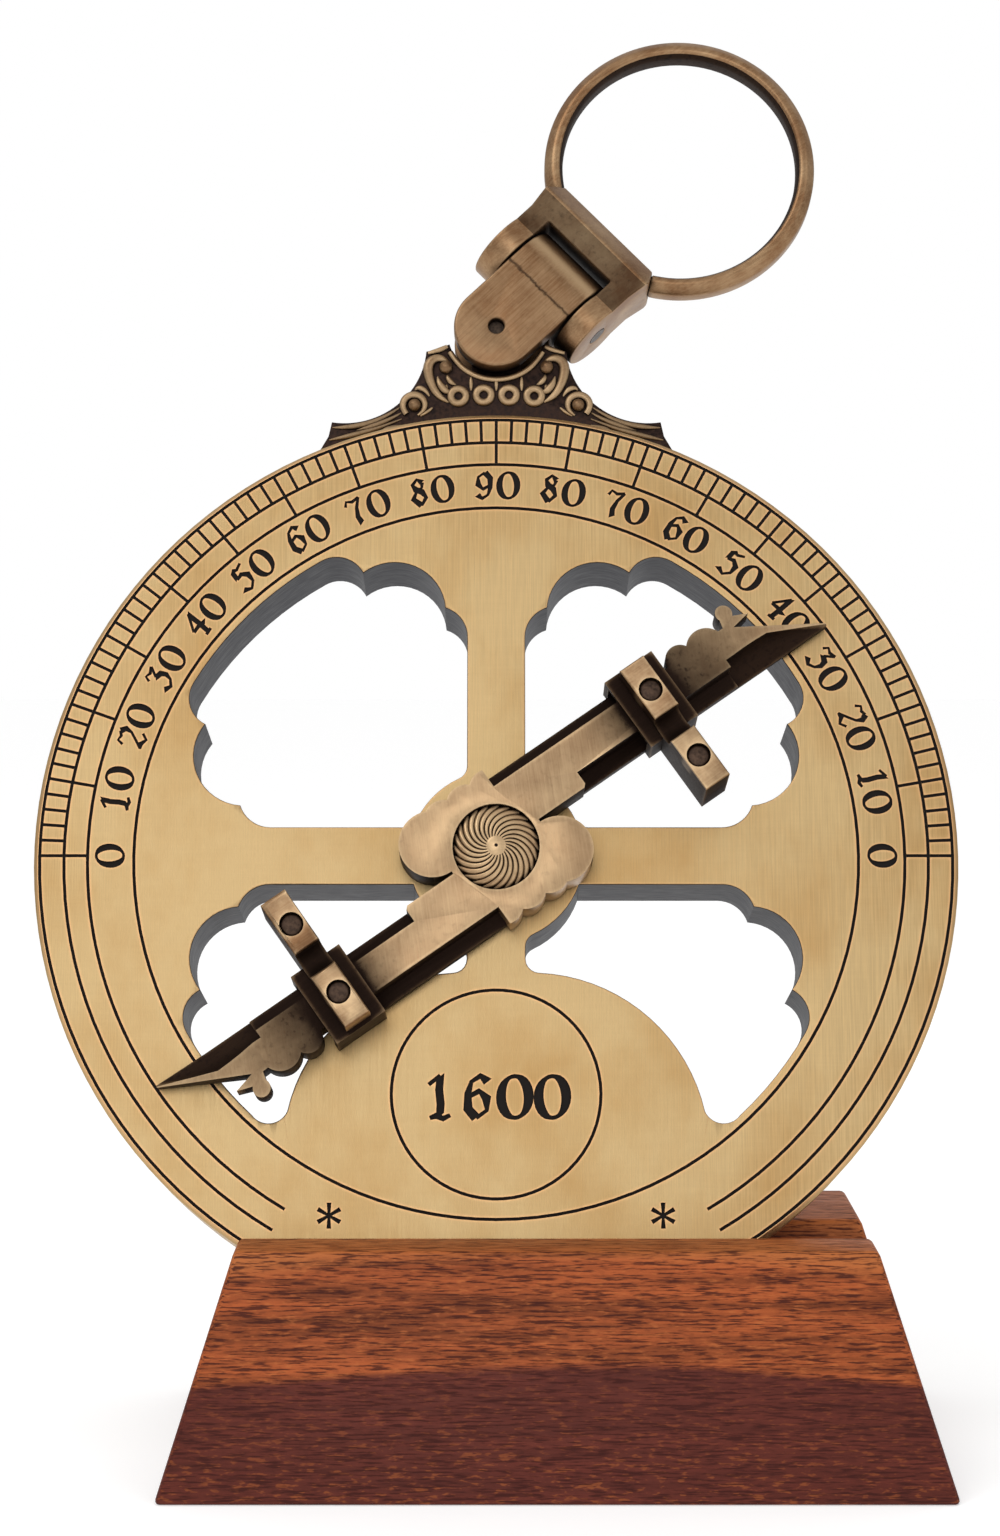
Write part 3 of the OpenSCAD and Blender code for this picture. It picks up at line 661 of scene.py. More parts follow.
def aged(name, brass, turn, wear, hollow, reach=2.2, dullness=0.0, even=0.0, vane_patina_and_shade=False,
         seam=False):
    """Antiqued brass: brushed along one way, dark in its hollows and bright on its edges.

    turn is the way of the brushing on the face, wear how much of the bright brass shows,
    hollow how dark the hollows are and reach how wide they may be, in millimetres, dullness
    how far the dark covers it all over, which is antiquing on most pieces and painted shade on the
    dark copies for shaded faces, and even how much of the bright brass shows everywhere.
    vane_patina_and_shade adds the antiquing and painted shade round the alidade's vanes, and seam
    adds the link's casting seam and a band of painted highlight over it.
    """
    n = Nodes(name)
    brush = n.noise(spun(n, turn, (7 * MM, 0.25 * MM, 0.25 * MM)), detail=4, roughness=0.7)
    patches = n.noise(n.place((7 * MM,) * 3), detail=5, roughness=0.62)
    specks = n.noise(n.place((0.7 * MM,) * 3), detail=3)
    open_part = n.hollows(reach * MM)
    edge = n.span(n.hollows(0.7 * MM, inside=True), 0.35, 0.85, 1.0, 0.0)
    rub = n.plus(n.span(patches, 0.35, 0.7, 0.0, wear), n.times(edge, 0.65))
    rub = n.plus(rub, n.span(brush, 0.35, 0.75, even - 0.12, even + 0.2))
    colour = n.mix(n.span(rub, 0.0, 1.0), brass.aged, brass.rubbed)
    dirt_and_shade = n.plus(n.span(open_part, 0.25, 0.92, hollow, 0.0), n.span(specks, 0.55, 0.75, 0.0, 0.13))
    # round the alidade's vanes the faces darken, partly as antiquing and partly as painted shade
    if vane_patina_and_shade:
        dirt_and_shade = n.plus(dirt_and_shade, dirt_by_vanes(n, patches))
    # the link gets a dark line on its casting seam, and a band of painted highlight in the rubbed colour
    # across its barrel
    if seam:
        crack, off_highlight = link_seam(n, patches, specks)
        dirt_and_shade = n.plus(dirt_and_shade, crack)
        dirt_and_shade = n.minus(dirt_and_shade, n.span(off_highlight, 0.3 * MM, 1.6 * MM, 0.25, 0.0))
        colour = n.mix(n.span(off_highlight, 0.2 * MM, 1.5 * MM, 0.6, 0.0), colour, brass.rubbed)
    # dullness darkens the whole face; on the dark copies for shaded faces this is painted shade
    dirt_and_shade = n.plus(dirt_and_shade, n.plus(n.times(edge, -0.35 * dullness), dullness))
    colour = n.mix(n.span(dirt_and_shade, 0.0, 1.0), colour, brass.patina)
    rough = n.plus(n.span(brush, 0.3, 0.7, 0.30, 0.46), n.span(dirt_and_shade, 0.0, 1.0, 0.0, 0.25))
    height = n.plus(brush, n.times(specks, 0.6))
    n.shader.inputs["Specular IOR Level"].default_value = 0.3
    return n.shade(colour, 0.95, rough, n.bump(height, 0.25, 0.03 * MM))


def dark_metal(name, light, dark, metallic=0.9):
    """Dark pins and rivets with a few rubbed specks."""
    n = Nodes(name)
    specks = n.noise(n.place((0.5 * MM,) * 3), detail=3)
    open_part = n.span(n.hollows(0.8 * MM), 0.4, 0.9, 0.3, 1.0)
    colour = n.mix(n.times(n.span(specks, 0.35, 0.7), open_part), dark, light)
    return n.shade(colour, metallic, n.span(specks, 0.3, 0.7, 0.3, 0.5), n.bump(specks, 0.25, 0.02 * MM))


def mahogany(wood):
    """Straight-grained wood, reddish above and dark below, with fine dark pores."""
    n = Nodes("mahogany")
    pores = n.noise(n.place((3.4 * MM, 0.26 * MM, 0.26 * MM)), detail=3, roughness=0.6)
    streaks = n.noise(n.place((34 * MM, 1.6 * MM, 1.6 * MM)), detail=5, roughness=0.65)
    flecks = n.noise(n.place((1.6 * MM, 0.5 * MM, 0.5 * MM)), detail=2)
    wander = n.noise(n.place((42 * MM, 30 * MM, 9 * MM)), detail=3)
    place = n.axes(n.add("ShaderNodeTexCoord").outputs["Object"])
    bend = n.maths("POWER", n.size(place[0]), 2.0)
    level = n.plus(place[2], n.times(bend, 1.3))
    level = n.plus(level, n.times(n.minus(wander, 0.5), 4 * MM))
    heart = n.span(level, 15.4 * MM, 16.3 * MM, 1.0, 0.0)
    top = n.mix(n.span(streaks, 0.38, 0.62), scaled(wood.upper, 1.15), scaled(wood.upper, 0.42))
    top = n.mix(n.span(flecks, 0.55, 0.70, 0.0, 0.5), top, (0.46, 0.13, 0.035))
    top = n.mix(n.span(level, 28 * MM, 30.5 * MM, 0.0, 0.8), top, (0.46, 0.14, 0.038))
    base = n.mix(n.span(streaks, 0.3, 0.7), wood.lower, scaled(wood.lower, 1.7))
    lit = n.span(level, 2 * MM, 13 * MM, 0.75, 0.25)
    base = n.mix(n.times(n.span(flecks, 0.55, 0.66), lit), base, (0.26, 0.066, 0.018))
    colour = n.mix(heart, top, base)
    colour = n.mix(n.span(pores, 0.50, 0.60, 0.0, 0.85), colour, wood.streak)
    colour = n.mix(n.span(flecks, 0.3, 0.45, 0.3, 0.0), colour, wood.streak)
    rough = n.span(pores, 0.4, 0.65, 0.42, 0.62)
    height = n.minus(n.times(streaks, 0.4), n.span(pores, 0.52, 0.62))
    n.shader.inputs["Specular IOR Level"].default_value = 0.14
    return n.shade(colour, 0.0, rough, n.bump(height, 0.3, 0.06 * MM))


# ---------------------------------------------------------------- the pieces


def faces_out(face):
    return face.normal.dot(OUT) > 0.95


def upright(face):
    return abs(face.normal.dot(OUT)) < 0.1


def depth_span(face):
    """How far a face's lowest and highest corners stand out of the limb's front."""
    depths = [(vert.co - FACE.translation).dot(OUT) for vert in face.verts]
    return min(depths), max(depths)


def tall(face):
    """Whether a face goes through most of the limb's thickness."""
    low, high = depth_span(face)
    return high - low > LIMB_THICKNESS / 2 * MM


def opening_edge(edge):
    """Whether an edge lies between the limb's front or back and a wall through it."""
    pair = edge.link_faces
    flat = [face for face in pair if abs(face.normal.dot(OUT)) > 0.95]
    walls = [face for face in pair if upright(face)]
    return len(pair) == 2 and len(flat) == 1 and len(walls) == 1 and tall(walls[0])


def opening_wall(face):
    """Whether a face is a wall of one of the four openings, inside the limb's outer rim."""
    middle = FACE.translation - OUT * LIMB_THICKNESS / 2 * MM
    return upright(face) and tall(face) \
        and (face.calc_center_median() - middle).length < (LIMB_RADIUS - 1) * MM


def in_groove(face):
    """Whether a face is the floor or a side of an engraved line, number or star."""
    low, high = depth_span(face)
    if faces_out(face):
        return -(GROOVE_DEPTH + 0.1) * MM < high < -0.1 * MM
    reach = (face.calc_center_median() - FACE.translation).length
    shallow = high - low < (GROOVE_DEPTH + 0.07) * MM and -0.1 * MM < high < 0.02 * MM
    return shallow and abs(face.normal.dot(OUT)) < 0.5 and reach < (LIMB_RADIUS - 0.4) * MM


class ASTROLABE_OT_limb(bpy.types.Operator):
    """Builds the limb with its numbers, stars, filled engraving and softened openings"""

    bl_idname = "astrolabe.limb"
    bl_label = "Graduated Limb"

    def execute(self, context):
        cut = context.scene.astrolabe_engraving
        brass = context.scene.astrolabe_brass
        limb = copy_of("limb", "graduated_limb", flat_angle=0)
        masters = {}
        cutters = []

        def letter(digit, size, spot):
            key = (digit, round(size, 6))
            if key not in masters:
                nib_width = cut.nib_width * size / cut.numeral_height
                masters[key] = numeral(digit, size, nib_width, 2 * cut.depth)
            cutters.append(twin(masters[key], "cutter", FACE @ spot))

        for step in range(19):
            digits = str(10 * min(step, 18 - step))
            turn = math.radians(180 - 10 * step)
            for index, digit in enumerate(digits):
                shift = (index - (len(digits) - 1) / 2) * DIGIT_PITCH * cut.numeral_height
                letter(digit, cut.numeral_height, Matrix.Rotation(turn - math.pi / 2, 4, "Z")
                       @ Matrix.Translation((shift, cut.numeral_radius, 0)))
        for index, digit in enumerate(str(cut.date)):
            letter(digit, cut.date_height,
                   Matrix.Translation(((index - 1.5) * DIGIT_PITCH * cut.date_height, DATE_UP * MM, 0)))
        pattern = star(cut.star_size, 2 * cut.depth)
        for side in (-1, 1):
            spot = Matrix.Translation((side * STAR_SIDE * MM, STAR_UP * MM, 0))
            cutters.append(twin(pattern, "cutter", FACE @ spot))
        cutter = join(cutters, "engraving_cutter")
        apply(limb, "BOOLEAN", object=cutter, operation="DIFFERENCE", solver="EXACT", use_self=True)
        pick(cutter, pattern, *masters.values())
        bpy.ops.object.delete()

        with editing(limb) as mesh:
            choose(mesh, mesh.edges, opening_edge)
            bpy.ops.mesh.bevel(offset=0.22 * MM, segments=2, affect="EDGES", clamp_overlap=True)

        for metal in (brushed_limb(brass), filled_groove(cut), raw_wall(brass)):
            limb.data.materials.append(metal)
        for slot, test in ((1, in_groove), (2, opening_wall)):
            limb.active_material_index = slot
            with editing(limb, "DESELECT") as mesh:
                choose(mesh, mesh.faces, test)
                bpy.ops.object.material_slot_assign()
        smooth(limb, 30)
        apply(limb, "WEIGHTED_NORMAL", keep_sharp=True)
        finish(limb, "astrolabe", "limb_brass", None, "limb")
        return {"FINISHED"}


def tube(name, spots, radii, steps):
    """A round bar of changing radius along a smooth line, in millimetres."""
    deselect()
    bpy.ops.curve.primitive_nurbs_path_add()
    bar = bpy.context.object
    line = bar.data.splines[0]
    line.points.add(len(spots) - len(line.points))
    for point, spot, radius in zip(line.points, spots, radii):
        point.co = (*(part * MM for part in spot), 1)
        point.radius = radius
    line.order_u = 4
    line.use_endpoint_u = True
    line.resolution_u = steps
    bar.data.bevel_depth = MM
    bar.data.bevel_resolution = 2
    bar.data.use_fill_caps = True
    bpy.ops.object.convert(target="MESH")
    return mend(named(bpy.context.object, name))


def scroll(name, points, radii, flatten, matrix, level):
    """A tapering half-round rib along points on a face, flattened towards it and sunk halfway in."""
    # a short line gets points between its own, because a smooth curve needs five
    while len(points) < 5:
        points = [points[0]] + [tuple((a + b) / 2 for a, b in zip(one, two))
                                for one, two in zip(points, points[1:])] + [points[-1]]
        radii = [radii[0]] + [(a + b) / 2 for a, b in zip(radii, radii[1:])] + [radii[-1]]
    rib = tube(name, [(*spot, 0) for spot in points], radii, 5)
    flat = Matrix.Diagonal((1, 1, flatten, 1))
    return place(rib, matrix @ Matrix.Translation((0, 0, level)) @ flat)


def spiral(centre, start_radius, end_radius, start, sweep, count):
    """Points of a spiral, with angles in degrees and lengths in millimetres."""
    points = []
    for index in range(count):
        share = index / (count - 1)
        turn = math.radians(start + sweep * share)
        reach = start_radius + (end_radius - start_radius) * share
        points.append((centre[0] + reach * math.cos(turn), centre[1] + reach * math.sin(turn)))
    return points


def fade(count, thick, thin_start, thin_end):
    """Radii that swell from thin_start to thick and fall to thin_end."""
    radii = []
    for index in range(count):
        share = index / (count - 1)
        swell = math.sin(math.pi * share)
        base = thin_start + (thin_end - thin_start) * share
        radii.append(base + (thick - base) * swell)
    return radii


def ball(name, spot, radius, flatten, matrix, level):
    """A bead with a slightly flat top, flattened towards the face that it sits on."""
    deselect()
    bpy.ops.mesh.primitive_uv_sphere_add(segments=16, ring_count=10, radius=radius * MM)
    bead = named(bpy.context.object, name)
    with editing(bead, "DESELECT") as mesh:
        choose(mesh, mesh.faces, lambda face: face.calc_center_median().z > 0.8 * radius * MM)
        bpy.ops.transform.resize(value=(0.7, 0.7, 0.6), center_override=(0, 0, radius * MM))
    return place(bead, matrix @ Matrix.Translation((spot[0] * MM, spot[1] * MM, level))
                 @ Matrix.Diagonal((1, 1, flatten, 1)))


def fruit(name, spot, matrix, level):
    """A round fruit with a hollow in its middle."""
    deselect()
    bpy.ops.mesh.primitive_torus_add(major_radius=1.02 * MM, minor_radius=0.56 * MM,
                                     major_segments=24, minor_segments=10)
    ring = bpy.context.object
    with editing(ring, "DESELECT") as mesh:
        choose(mesh, mesh.faces, lambda face: face.normal.z > 0.8)
        bpy.ops.transform.resize(value=(1, 1, 0.8), center_override=(0, 0, 0))
    place(ring, matrix @ Matrix.Translation((spot[0] * MM, spot[1] * MM, level)))
    return named(ring, name)


class ASTROLABE_OT_throne(bpy.types.Operator):
    """Builds the throne with its raised scrolls, fruits and leaves on both faces"""

    bl_idname = "astrolabe.throne"
    bl_label = "Throne"

    def execute(self, context):
        brass = context.scene.astrolabe_brass
        relief = context.scene.astrolabe_throne.relief
        plate = copy_of("throne", "throne_casting")
        soften(plate, 0.25 * MM)
        front = THRONE_FRONT * MM
        parts, feathers = [], []

        def rib(points, radii):
            parts.append(scroll("rib", points, [1.2 * radius for radius in radii],
                                relief / MM / 0.62, FACE, front))

        for side in (-1, 1):
            def at(points):
                return [(side * x, y) for x, y in points]

            # raised border along the notch and up to the horn
            turns = [math.radians(angle) for angle in range(-2, 66, 6)]
            notch = [(NOTCH_BORDER * math.sin(turn), PIN_UP - NOTCH_BORDER * math.cos(turn))
                     for turn in turns]
            rib(at(notch), [0.36] * len(notch))
            rib(at([(9.2, 69.6), (8.3, 69.75), (7.4, 70.1), (6.6, 70.55)]), [0.22, 0.36, 0.36, 0.26])
            # upper scroll, from its ball over the top and down the side
            rib(at([(6.6, 68.2), (7.3, 69.0), (8.5, 68.9), (9.2, 67.9), (9.15, 66.6), (8.8, 65.3),
                    (8.2, 64.1), (7.4, 63.2), (6.4, 62.7)]),
                [0.34, 0.48, 0.58, 0.62, 0.6, 0.56, 0.5, 0.4, 0.15])
            parts.append(ball("bead", (side * 6.8, 67.6), 0.95, 1.0, FACE, front))
            # leaves inside the scroll
            rib(at([(7.9, 66.3), (7.8, 65.4), (7.2, 64.5), (6.5, 64.0), (5.9, 64.2)]),
                [0.12, 0.46, 0.56, 0.44, 0.12])
            rib(at([(6.6, 66.6), (6.6, 65.9), (6.1, 65.3), (5.4, 65.1)]), [0.1, 0.42, 0.46, 0.1])
            # lower volute with its ball
            rib(at(spiral((11.05, 62.2), 1.45, 1.55, 250, -300, 12)), fade(12, 0.5, 0.16, 0.4))
            parts.append(ball("bead", (side * 11.0, 62.25), 0.92, 1.0, FACE, front))
            rib(at([(9.0, 63.5), (9.5, 64.6), (10.6, 65.0), (10.9, 64.3)]), [0.12, 0.45, 0.42, 0.1])
            rib(at([(8.6, 61.9), (9.2, 61.2), (10.2, 60.75)]), [0.12, 0.38, 0.1])
            # feathers over the foot, layered between the limb and the hollow side
            for index, ends in enumerate((15.6, 22.4, 18.8, 22.0)):
                spots = []
                for step in range(6):
                    x = 12.7 + step * (ends - 12.7) / 5
                    across = THRONE_SIDE[0] - x
                    base = math.sqrt(LIMB_RADIUS ** 2 - x ** 2) + 0.35
                    crown = THRONE_SIDE[1] - math.sqrt(THRONE_SIDE_RADIUS ** 2 - across ** 2) - 0.35
                    spots.append((x, base + (crown - base) * (index + 0.5) / 4))
                feathers.append(scroll("feather", at(spots), [0.10, 0.30, 0.40, 0.46, 0.40, 0.10],
                                       relief / MM / 0.6, FACE, front))
        # a row of four fruits with small leaves between them
        for index in range(4):
            spot = (-5.1 + index * 3.4, 63.75 - abs(index - 1.5) * 0.15)
            parts.append(fruit("fruit", spot, FACE, front))
        for x in (-6.7, -3.4, 0.0, 3.4, 6.7):
            tip = 66.3 if abs(x) < 5 else 65.2
            rib([(x, 64.3), (x, (64.3 + tip) / 2), (x, tip)], [0.12, 0.52, 0.08])
        finish(plate, "astrolabe", "cast_brass", dark_metal(
            "throne_ground", (0.038, 0.020, 0.014), (0.012, 0.007, 0.006)), "throne")
        mirror = FACE @ Matrix.Translation((0, 0, -LIMB_THICKNESS * MM)) \
            @ Matrix.Rotation(math.pi, 4, "Y") @ FACE.inverted()
        for pieces, name, metal in (
                (parts, "throne_ornament", aged("rubbed_relief_brass", brass, 0.3, 0.30, 1.5, 1.1, 0.27)),
                (feathers, "throne_feathers", aged("feather_brass", brass, 0.3, 0.1, 1.5, 0.9, 0.66))):
            ornament = join(pieces, name)
            back = twin(ornament, name + "_back", mirror)
            for piece in (ornament, back):
                finish(smooth(piece, 60), "astrolabe", "cast_brass", metal)
        return {"FINISHED"}


class ASTROLABE_OT_shackle(bpy.types.Operator):
    """Builds the shackle's link with its softened edges and the casting seam across it"""

    bl_idname = "astrolabe.shackle"
    bl_label = "Shackle Link"

    def execute(self, context):
        brass = context.scene.astrolabe_brass
        link = soften(copy_of("shackle_link", "shackle_link_casting"), 0.35 * MM, 3)
        turn = math.atan2(ALONG.dot(FACE.col[1].to_3d()), ALONG.x)
        metal = aged("link_brass", brass, turn, 0.35, 1.0, dullness=0.08, seam=True)
        finish(link, "shackle", "aged_brass", metal, "shackle_link")
        return {"FINISHED"}


class ASTROLABE_OT_ring(bpy.types.Operator):
    """Builds the yoke and the finger ring, with softened edges"""

    bl_idname = "astrolabe.ring"
    bl_label = "Yoke And Finger Ring"

    def execute(self, context):
        brass = context.scene.astrolabe_brass
        metal = aged("ring_brass", brass, 0.6, 0.5, 1.1)
        dark = aged("ring_inner_painted_shade", brass, 0.6, 0.1, 1.2, dullness=0.95)
        brown = aged("yoke_bar_painted_shade", brass, 0.6, 0.9, 1.2, dullness=0.68)
        yoke = soften(copy_of("yoke", "yoke_casting"), 0.4 * MM, 3)
        ring = soften(copy_of("finger_ring", "finger_ring_bar", flat_angle=0), 0.3 * MM, 2, angle=20)
        middle = LINK @ Vector((0, RING_UP * MM, 0))

        def inner(face):
            """Whether a face of the ring looks towards the ring's middle."""
            way = middle - face.calc_center_median()
            way -= OUT * way.dot(OUT)
            return face.normal.dot(way.normalized()) > 0.75

        def bar_front(face):
            """Whether a face lies on the lower part of the yoke's bar and looks forward."""
            up = (LINK.inverted() @ face.calc_center_median()).y
            return BAR_LOW * MM < up < BAR_HIGH * MM and face.normal.dot(OUT) > 0.5

        # the ring's inner faces get the dark copy as painted shade
        paint(ring, metal, dark, inner)
        # the front of the yoke's lower bar gets the brown copy as painted shade
        paint(yoke, metal, brown, bar_front)
        finish(yoke, "ring", "aged_brass", metal, "yoke")
        finish(ring, "ring", "aged_brass", metal, "finger_ring")
        return {"FINISHED"}


class ASTROLABE_OT_alidade(bpy.types.Operator):
    """Builds the alidade with its softened cast edges"""

    bl_idname = "astrolabe.alidade"
    bl_label = "Alidade"

    def execute(self, context):
        brass = context.scene.astrolabe_brass
        arm = copy_of("alidade", "alidade_casting")
        soften(arm, brass.edge_round, 2)

        def unrubbed(face):
            """Whether a face is low, where the rubbing doesn't reach and the antiquing stays, or steep,
            where the dark copy is painted shade.
            """
            spot = ARM.inverted() @ face.calc_center_median()
            reach, level, facing = abs(spot.x) / MM, spot.z / MM, face.normal.dot(OUT)
            if facing > 0.9:
                return level < 3.5
            if reach < 15:
                return facing < 0.2 and level < 4.5 and reach > 9
            return facing < 0.35 or level < 5.0

        brushed = math.radians(98)
        paint(arm, aged("alidade_brass", brass, brushed, 0.35, 0.9, 2.6, even=0.45, vane_patina_and_shade=True),
              aged("alidade_patina_and_shade", brass, ARM_ANGLE, 0.15, 0.9, 3.0, dullness=0.95), unrubbed)
        finish(arm, "alidade", "aged_brass", None, "alidade")
        return {"FINISHED"}


def collar(face):
    """Whether a face belongs to the dark foot of a vane, where it grips the alidade; its darkness is
    painted shade.
    """
    spot = (ARM.inverted() @ face.calc_center_median()) / MM
    return spot.z < 8.4 or (abs(abs(spot.y) - 0.6) < 2.2 and spot.z < 10.6)


def front_outline(edge, front):
    """Whether an edge is a long sharp one on the front of a vane."""
    levels = [(ARM.inverted() @ vert.co).z for vert in edge.verts]
    normals = [face.normal for face in edge.link_faces]
    return min(levels) > front - 0.05 * MM and edge.calc_length() > 1.2 * MM \
        and normals[0].dot(normals[-1]) < 0.5


class ASTROLABE_OT_vanes(bpy.types.Operator):
    """Builds both sight vanes, with painted shade on their feet, and their rivets and plugs"""

    bl_idname = "astrolabe.vanes"
    bl_label = "Sight Vanes"

    def execute(self, context):
        brass = context.scene.astrolabe_brass
        metal = aged("vane_brass", brass, ARM_ANGLE, 1.1, 1.0, 1.8, dullness=0.08)
        patina = aged("vane_foot_painted_shade", brass, ARM_ANGLE, 0.1, 0.9, 2.0, dullness=0.95)
        dark = dark_metal("rivet_metal", (0.085, 0.052, 0.035), (0.028, 0.017, 0.012))
        for end in ("upper", "lower"):
            vane = copy_of(f"{end}_vane", f"{end}_vane_casting")
            front = max((ARM.inverted() @ vert.co).z for vert in vane.data.vertices)
            with editing(vane, "DESELECT", "EDGE") as mesh:
                choose(mesh, mesh.edges, lambda edge: front_outline(edge, front))
                bpy.ops.mesh.bevel(offset=0.5 * MM, segments=3, affect="EDGES", clamp_overlap=True)
            smooth(vane)
            # the feet get the dark copy as painted shade
            paint(vane, metal, patina, collar)
            finish(vane, "alidade", "aged_brass", None, f"{end}_vane")
            for kind in ("rivet", "plug"):
                pin = soften(copy_of(f"{end}_vane_{kind}", f"{end}_vane_{kind}_head"), 0.4 * MM, 3)
                finish(pin, "alidade", "rivet_brass", dark, f"{end}_vane_{kind}")
        return {"FINISHED"}


class ASTROLABE_OT_rosette(bpy.types.Operator):
    """Builds the pivot bolt's head as a ring of swirled flutes round a plain crown with a dark eye"""

    bl_idname = "astrolabe.rosette"
    bl_label = "Rosette"

    def execute(self, context):
        brass = context.scene.astrolabe_brass
        rosette = context.scene.astrolabe_rosette
        top = ROSETTE_SEAT + ROSETTE_RISE
        count = 8
        spots, radii = [], []
        for index in range(count):
            share = index / (count - 1)
            reach = 0.95 + (ROSETTE_RADIUS - 1.05) * share
            turn = -rosette.twist * share ** 1.15
            height = top + 0.02 - 1.9 * (reach / ROSETTE_RADIUS) ** 2
            spots.append((reach * math.cos(turn), reach * math.sin(turn), height))
            radii.append(max(0.12, 0.395 * math.tau * reach / rosette.flutes))
        flute = tube("flute", spots, radii, 3)
        flutes = []
        for index in range(rosette.flutes):
            turn = Matrix.Rotation(math.tau * index / rosette.flutes, 4, "Z")
            flutes.append(twin(flute, "flute_copy", ARM @ turn))
        pick(flute)
        bpy.ops.object.delete()
        crown = ball("crown", (0, 0), 1.35, 0.2, ARM, (top - 0.06) * MM)
        # a near-black bead stands for the small hole in the head's middle: painted shade
        eye = ball("eye", (0, 0), 0.24, 0.5, ARM, (top + 0.17) * MM)
        eye.data.materials.append(dark_metal("eye_painted_shade", (0.02, 0.012, 0.01), (0.01, 0.007, 0.006)))
        head = join(flutes + [crown], "rosette_flutes")
        metal = aged("rosette_brass", brass, 0.0, 0.5, 1.6, 0.7, even=0.12)
        finish(smooth(head, 60), "alidade", "limb_brass", metal)
        finish(named(smooth(eye, 60), "rosette_eye"), "alidade", "rivet_brass", None)
        refinish("pivot_bolt", dark_metal("bolt_metal", (0.14, 0.09, 0.045), (0.05, 0.03, 0.018)))
        return {"FINISHED"}


class ASTROLABE_OT_pins(bpy.types.Operator):
    """Gives the hidden pins, dowels, washers and nut their finishes"""

    bl_idname = "astrolabe.pins"
    bl_label = "Pins, Washers And Nut"

    def execute(self, context):
        brass = context.scene.astrolabe_brass
        steel = dark_metal("pin_metal", (0.085, 0.058, 0.040), (0.022, 0.015, 0.012))
        plain = aged("turned_brass", brass, 0.0, 0.7, 0.8, 1.5)
        finishes = {
            "throne_dowel_left": steel, "throne_dowel_right": steel, "shackle_pin": steel,
            "yoke_pin": steel, "thrust_washer": plain, "rear_washer": plain,
        }
        for node, metal in finishes.items():
            refinish(node, metal)
        nut = soften(copy_of("pivot_nut", "pivot_nut_turned"), 0.35 * MM, 2)
        finish(nut, "alidade", "limb_brass", plain, "pivot_nut")
        return {"FINISHED"}


class ASTROLABE_OT_stand(bpy.types.Operator):
    """Builds the wooden stand with its rounded edges"""

    bl_idname = "astrolabe.stand"
    bl_label = "Wooden Stand"

    def execute(self, context):
        wood = context.scene.astrolabe_wood
        stand = soften(copy_of("stand_block", "mahogany_stand"), wood.edge_round, 3, angle=25)
        finish(stand, "stand", "mahogany", mahogany(wood), "stand_block")
        return {"FINISHED"}


def tent(sky):
    """Even light all round, stronger from above, with plain white where the camera looks past."""
    world = bpy.data.worlds.new("tent")
    world.use_nodes = True
    nodes, links = world.node_tree.nodes, world.node_tree.links
    nodes.clear()
    coords = nodes.new("ShaderNodeTexCoord")
    split = nodes.new("ShaderNodeSeparateXYZ")
    ramp = nodes.new("ShaderNodeMapRange")
    ramp.inputs["From Min"].default_value = -0.4
    ramp.inputs["From Max"].default_value = 0.9
    ramp.inputs["To Min"].default_value = sky * 0.62
    ramp.inputs["To Max"].default_value = sky * 1.35
    background = nodes.new("ShaderNodeBackground")
    backdrop = nodes.new("ShaderNodeBackground")
    backdrop.inputs["Strength"].default_value = 1.0
    backdrop.inputs["Color"].default_value = (1, 1, 1, 1)
    rays = nodes.new("ShaderNodeLightPath")
    either = nodes.new("ShaderNodeMixShader")
    output = nodes.new("ShaderNodeOutputWorld")
    links.new(coords.outputs["Generated"], split.inputs[0])
    links.new(split.outputs[2], ramp.inputs["Value"])
    links.new(ramp.outputs["Result"], background.inputs["Strength"])
    links.new(rays.outputs["Is Camera Ray"], either.inputs[0])
    links.new(background.outputs["Background"], either.inputs[1])
    links.new(backdrop.outputs["Background"], either.inputs[2])
    links.new(either.outputs["Shader"], output.inputs["Surface"])
    return world


def lamp(name, spot, size, power):
    """A soft round light that points at the middle of the object."""
    bpy.ops.object.light_add(type="AREA", location=spot)
    light = named(bpy.context.object, name)
    light.data.shape = "DISK"
    light.data.size = size
    light.data.energy = power
    light.rotation_euler = (LIT_PLACE - Vector(spot)).to_track_quat("-Z", "Y").to_euler()


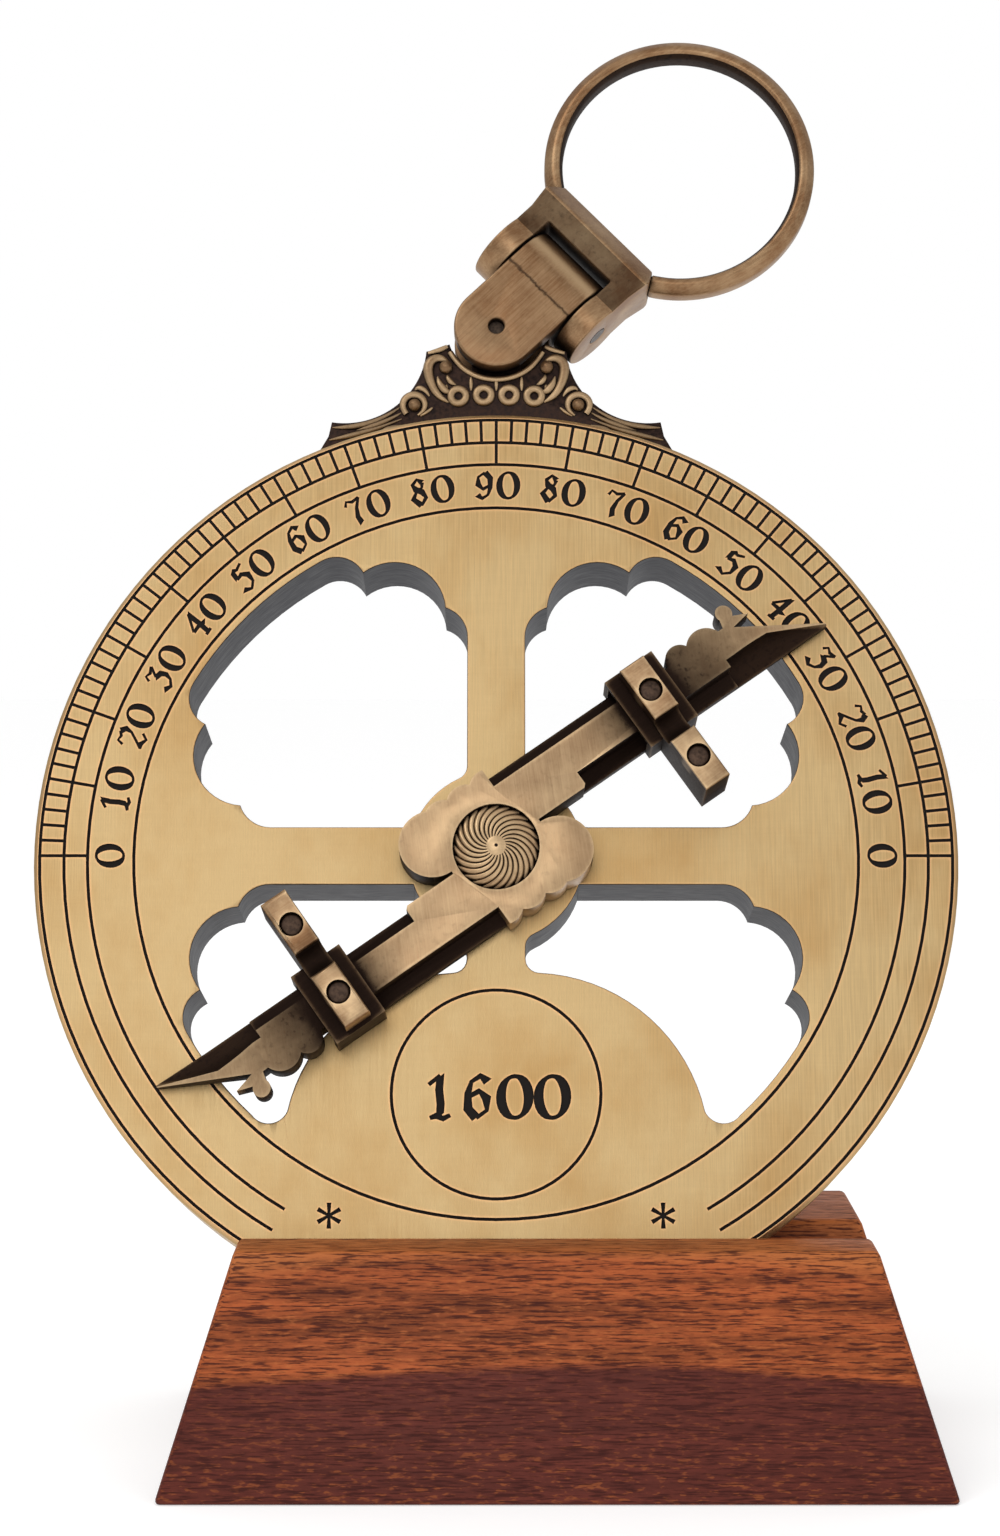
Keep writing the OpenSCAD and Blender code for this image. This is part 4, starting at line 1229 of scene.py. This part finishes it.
class ASTROLABE_OT_stage(bpy.types.Operator):
    """Sets the pale floor, the tent of soft light and the camera"""

    bl_idname = "astrolabe.stage"
    bl_label = "Floor, Lights And Camera"

    def execute(self, context):
        stage = context.scene.astrolabe_stage
        deselect()
        bpy.ops.mesh.primitive_plane_add(size=6)
        floor = named(bpy.context.object, "floor")
        n = Nodes("pale_floor")
        n.shader.inputs["Emission Color"].default_value = (1, 1, 1, 1)
        n.shader.inputs["Emission Strength"].default_value = stage.glow
        floor.data.materials.append(n.shade(stage.floor, 0.0, 0.6))
        context.scene.world = tent(stage.sky)
        lamp("key_light", (-0.45, -0.35, 0.75), 0.5, stage.key)
        lamp("fill_light", (0.55, -0.45, 0.35), 0.6, stage.key * 0.35)
        lamp("front_light", (-0.10, -0.95, 0.45), 0.5, stage.key * 0.9)

        bpy.ops.object.camera_add(location=CAMERA_PLACE, rotation=(math.pi / 2 - CAMERA_DIP, 0, 0))
        camera = bpy.context.object
        camera.name = "camera"
        camera.data.lens = stage.lens
        camera.data.clip_start = 0.01
        context.scene.camera = camera
        context.scene.view_settings.view_transform = "Standard"
        return {"FINISHED"}


class ASTROLABE_PT_panel(bpy.types.Panel):
    """Lists the pieces and their sizes and colours"""

    bl_idname = "ASTROLABE_PT_panel"
    bl_label = "Astrolabe"
    bl_space_type = "VIEW_3D"
    bl_region_type = "UI"
    bl_category = "Astrolabe"

    def draw(self, context):
        layout = self.layout
        for operator in OPERATORS:
            layout.operator(operator.bl_idname)
        for name in SETTINGS:
            box = layout.box()
            settings = getattr(context.scene, name)
            for key in settings.bl_rna.properties.keys():
                if key not in ("rna_type", "name"):
                    box.prop(settings, key)


SETTINGS = {
    "astrolabe_engraving": EngravingSettings,
    "astrolabe_brass": BrassSettings,
    "astrolabe_throne": ThroneSettings,
    "astrolabe_rosette": RosetteSettings,
    "astrolabe_wood": WoodSettings,
    "astrolabe_stage": StageSettings,
}
OPERATORS = (
    ASTROLABE_OT_stand,
    ASTROLABE_OT_limb,
    ASTROLABE_OT_throne,
    ASTROLABE_OT_shackle,
    ASTROLABE_OT_ring,
    ASTROLABE_OT_alidade,
    ASTROLABE_OT_vanes,
    ASTROLABE_OT_rosette,
    ASTROLABE_OT_pins,
    ASTROLABE_OT_stage,
)


def register():
    for kind in (*SETTINGS.values(), *OPERATORS, ASTROLABE_PT_panel):
        bpy.utils.register_class(kind)
    for name, kind in SETTINGS.items():
        setattr(bpy.types.Scene, name, PointerProperty(type=kind))


def unregister():
    for name in SETTINGS:
        delattr(bpy.types.Scene, name)
    for kind in reversed((*SETTINGS.values(), *OPERATORS, ASTROLABE_PT_panel)):
        bpy.utils.unregister_class(kind)


def main():
    register()
    bpy.ops.astrolabe.stand()
    bpy.ops.astrolabe.limb()
    bpy.ops.astrolabe.throne()
    bpy.ops.astrolabe.shackle()
    bpy.ops.astrolabe.ring()
    bpy.ops.astrolabe.alidade()
    bpy.ops.astrolabe.vanes()
    bpy.ops.astrolabe.rosette()
    bpy.ops.astrolabe.pins()
    bpy.ops.astrolabe.stage()
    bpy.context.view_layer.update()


if __name__ == "__main__":
    main()
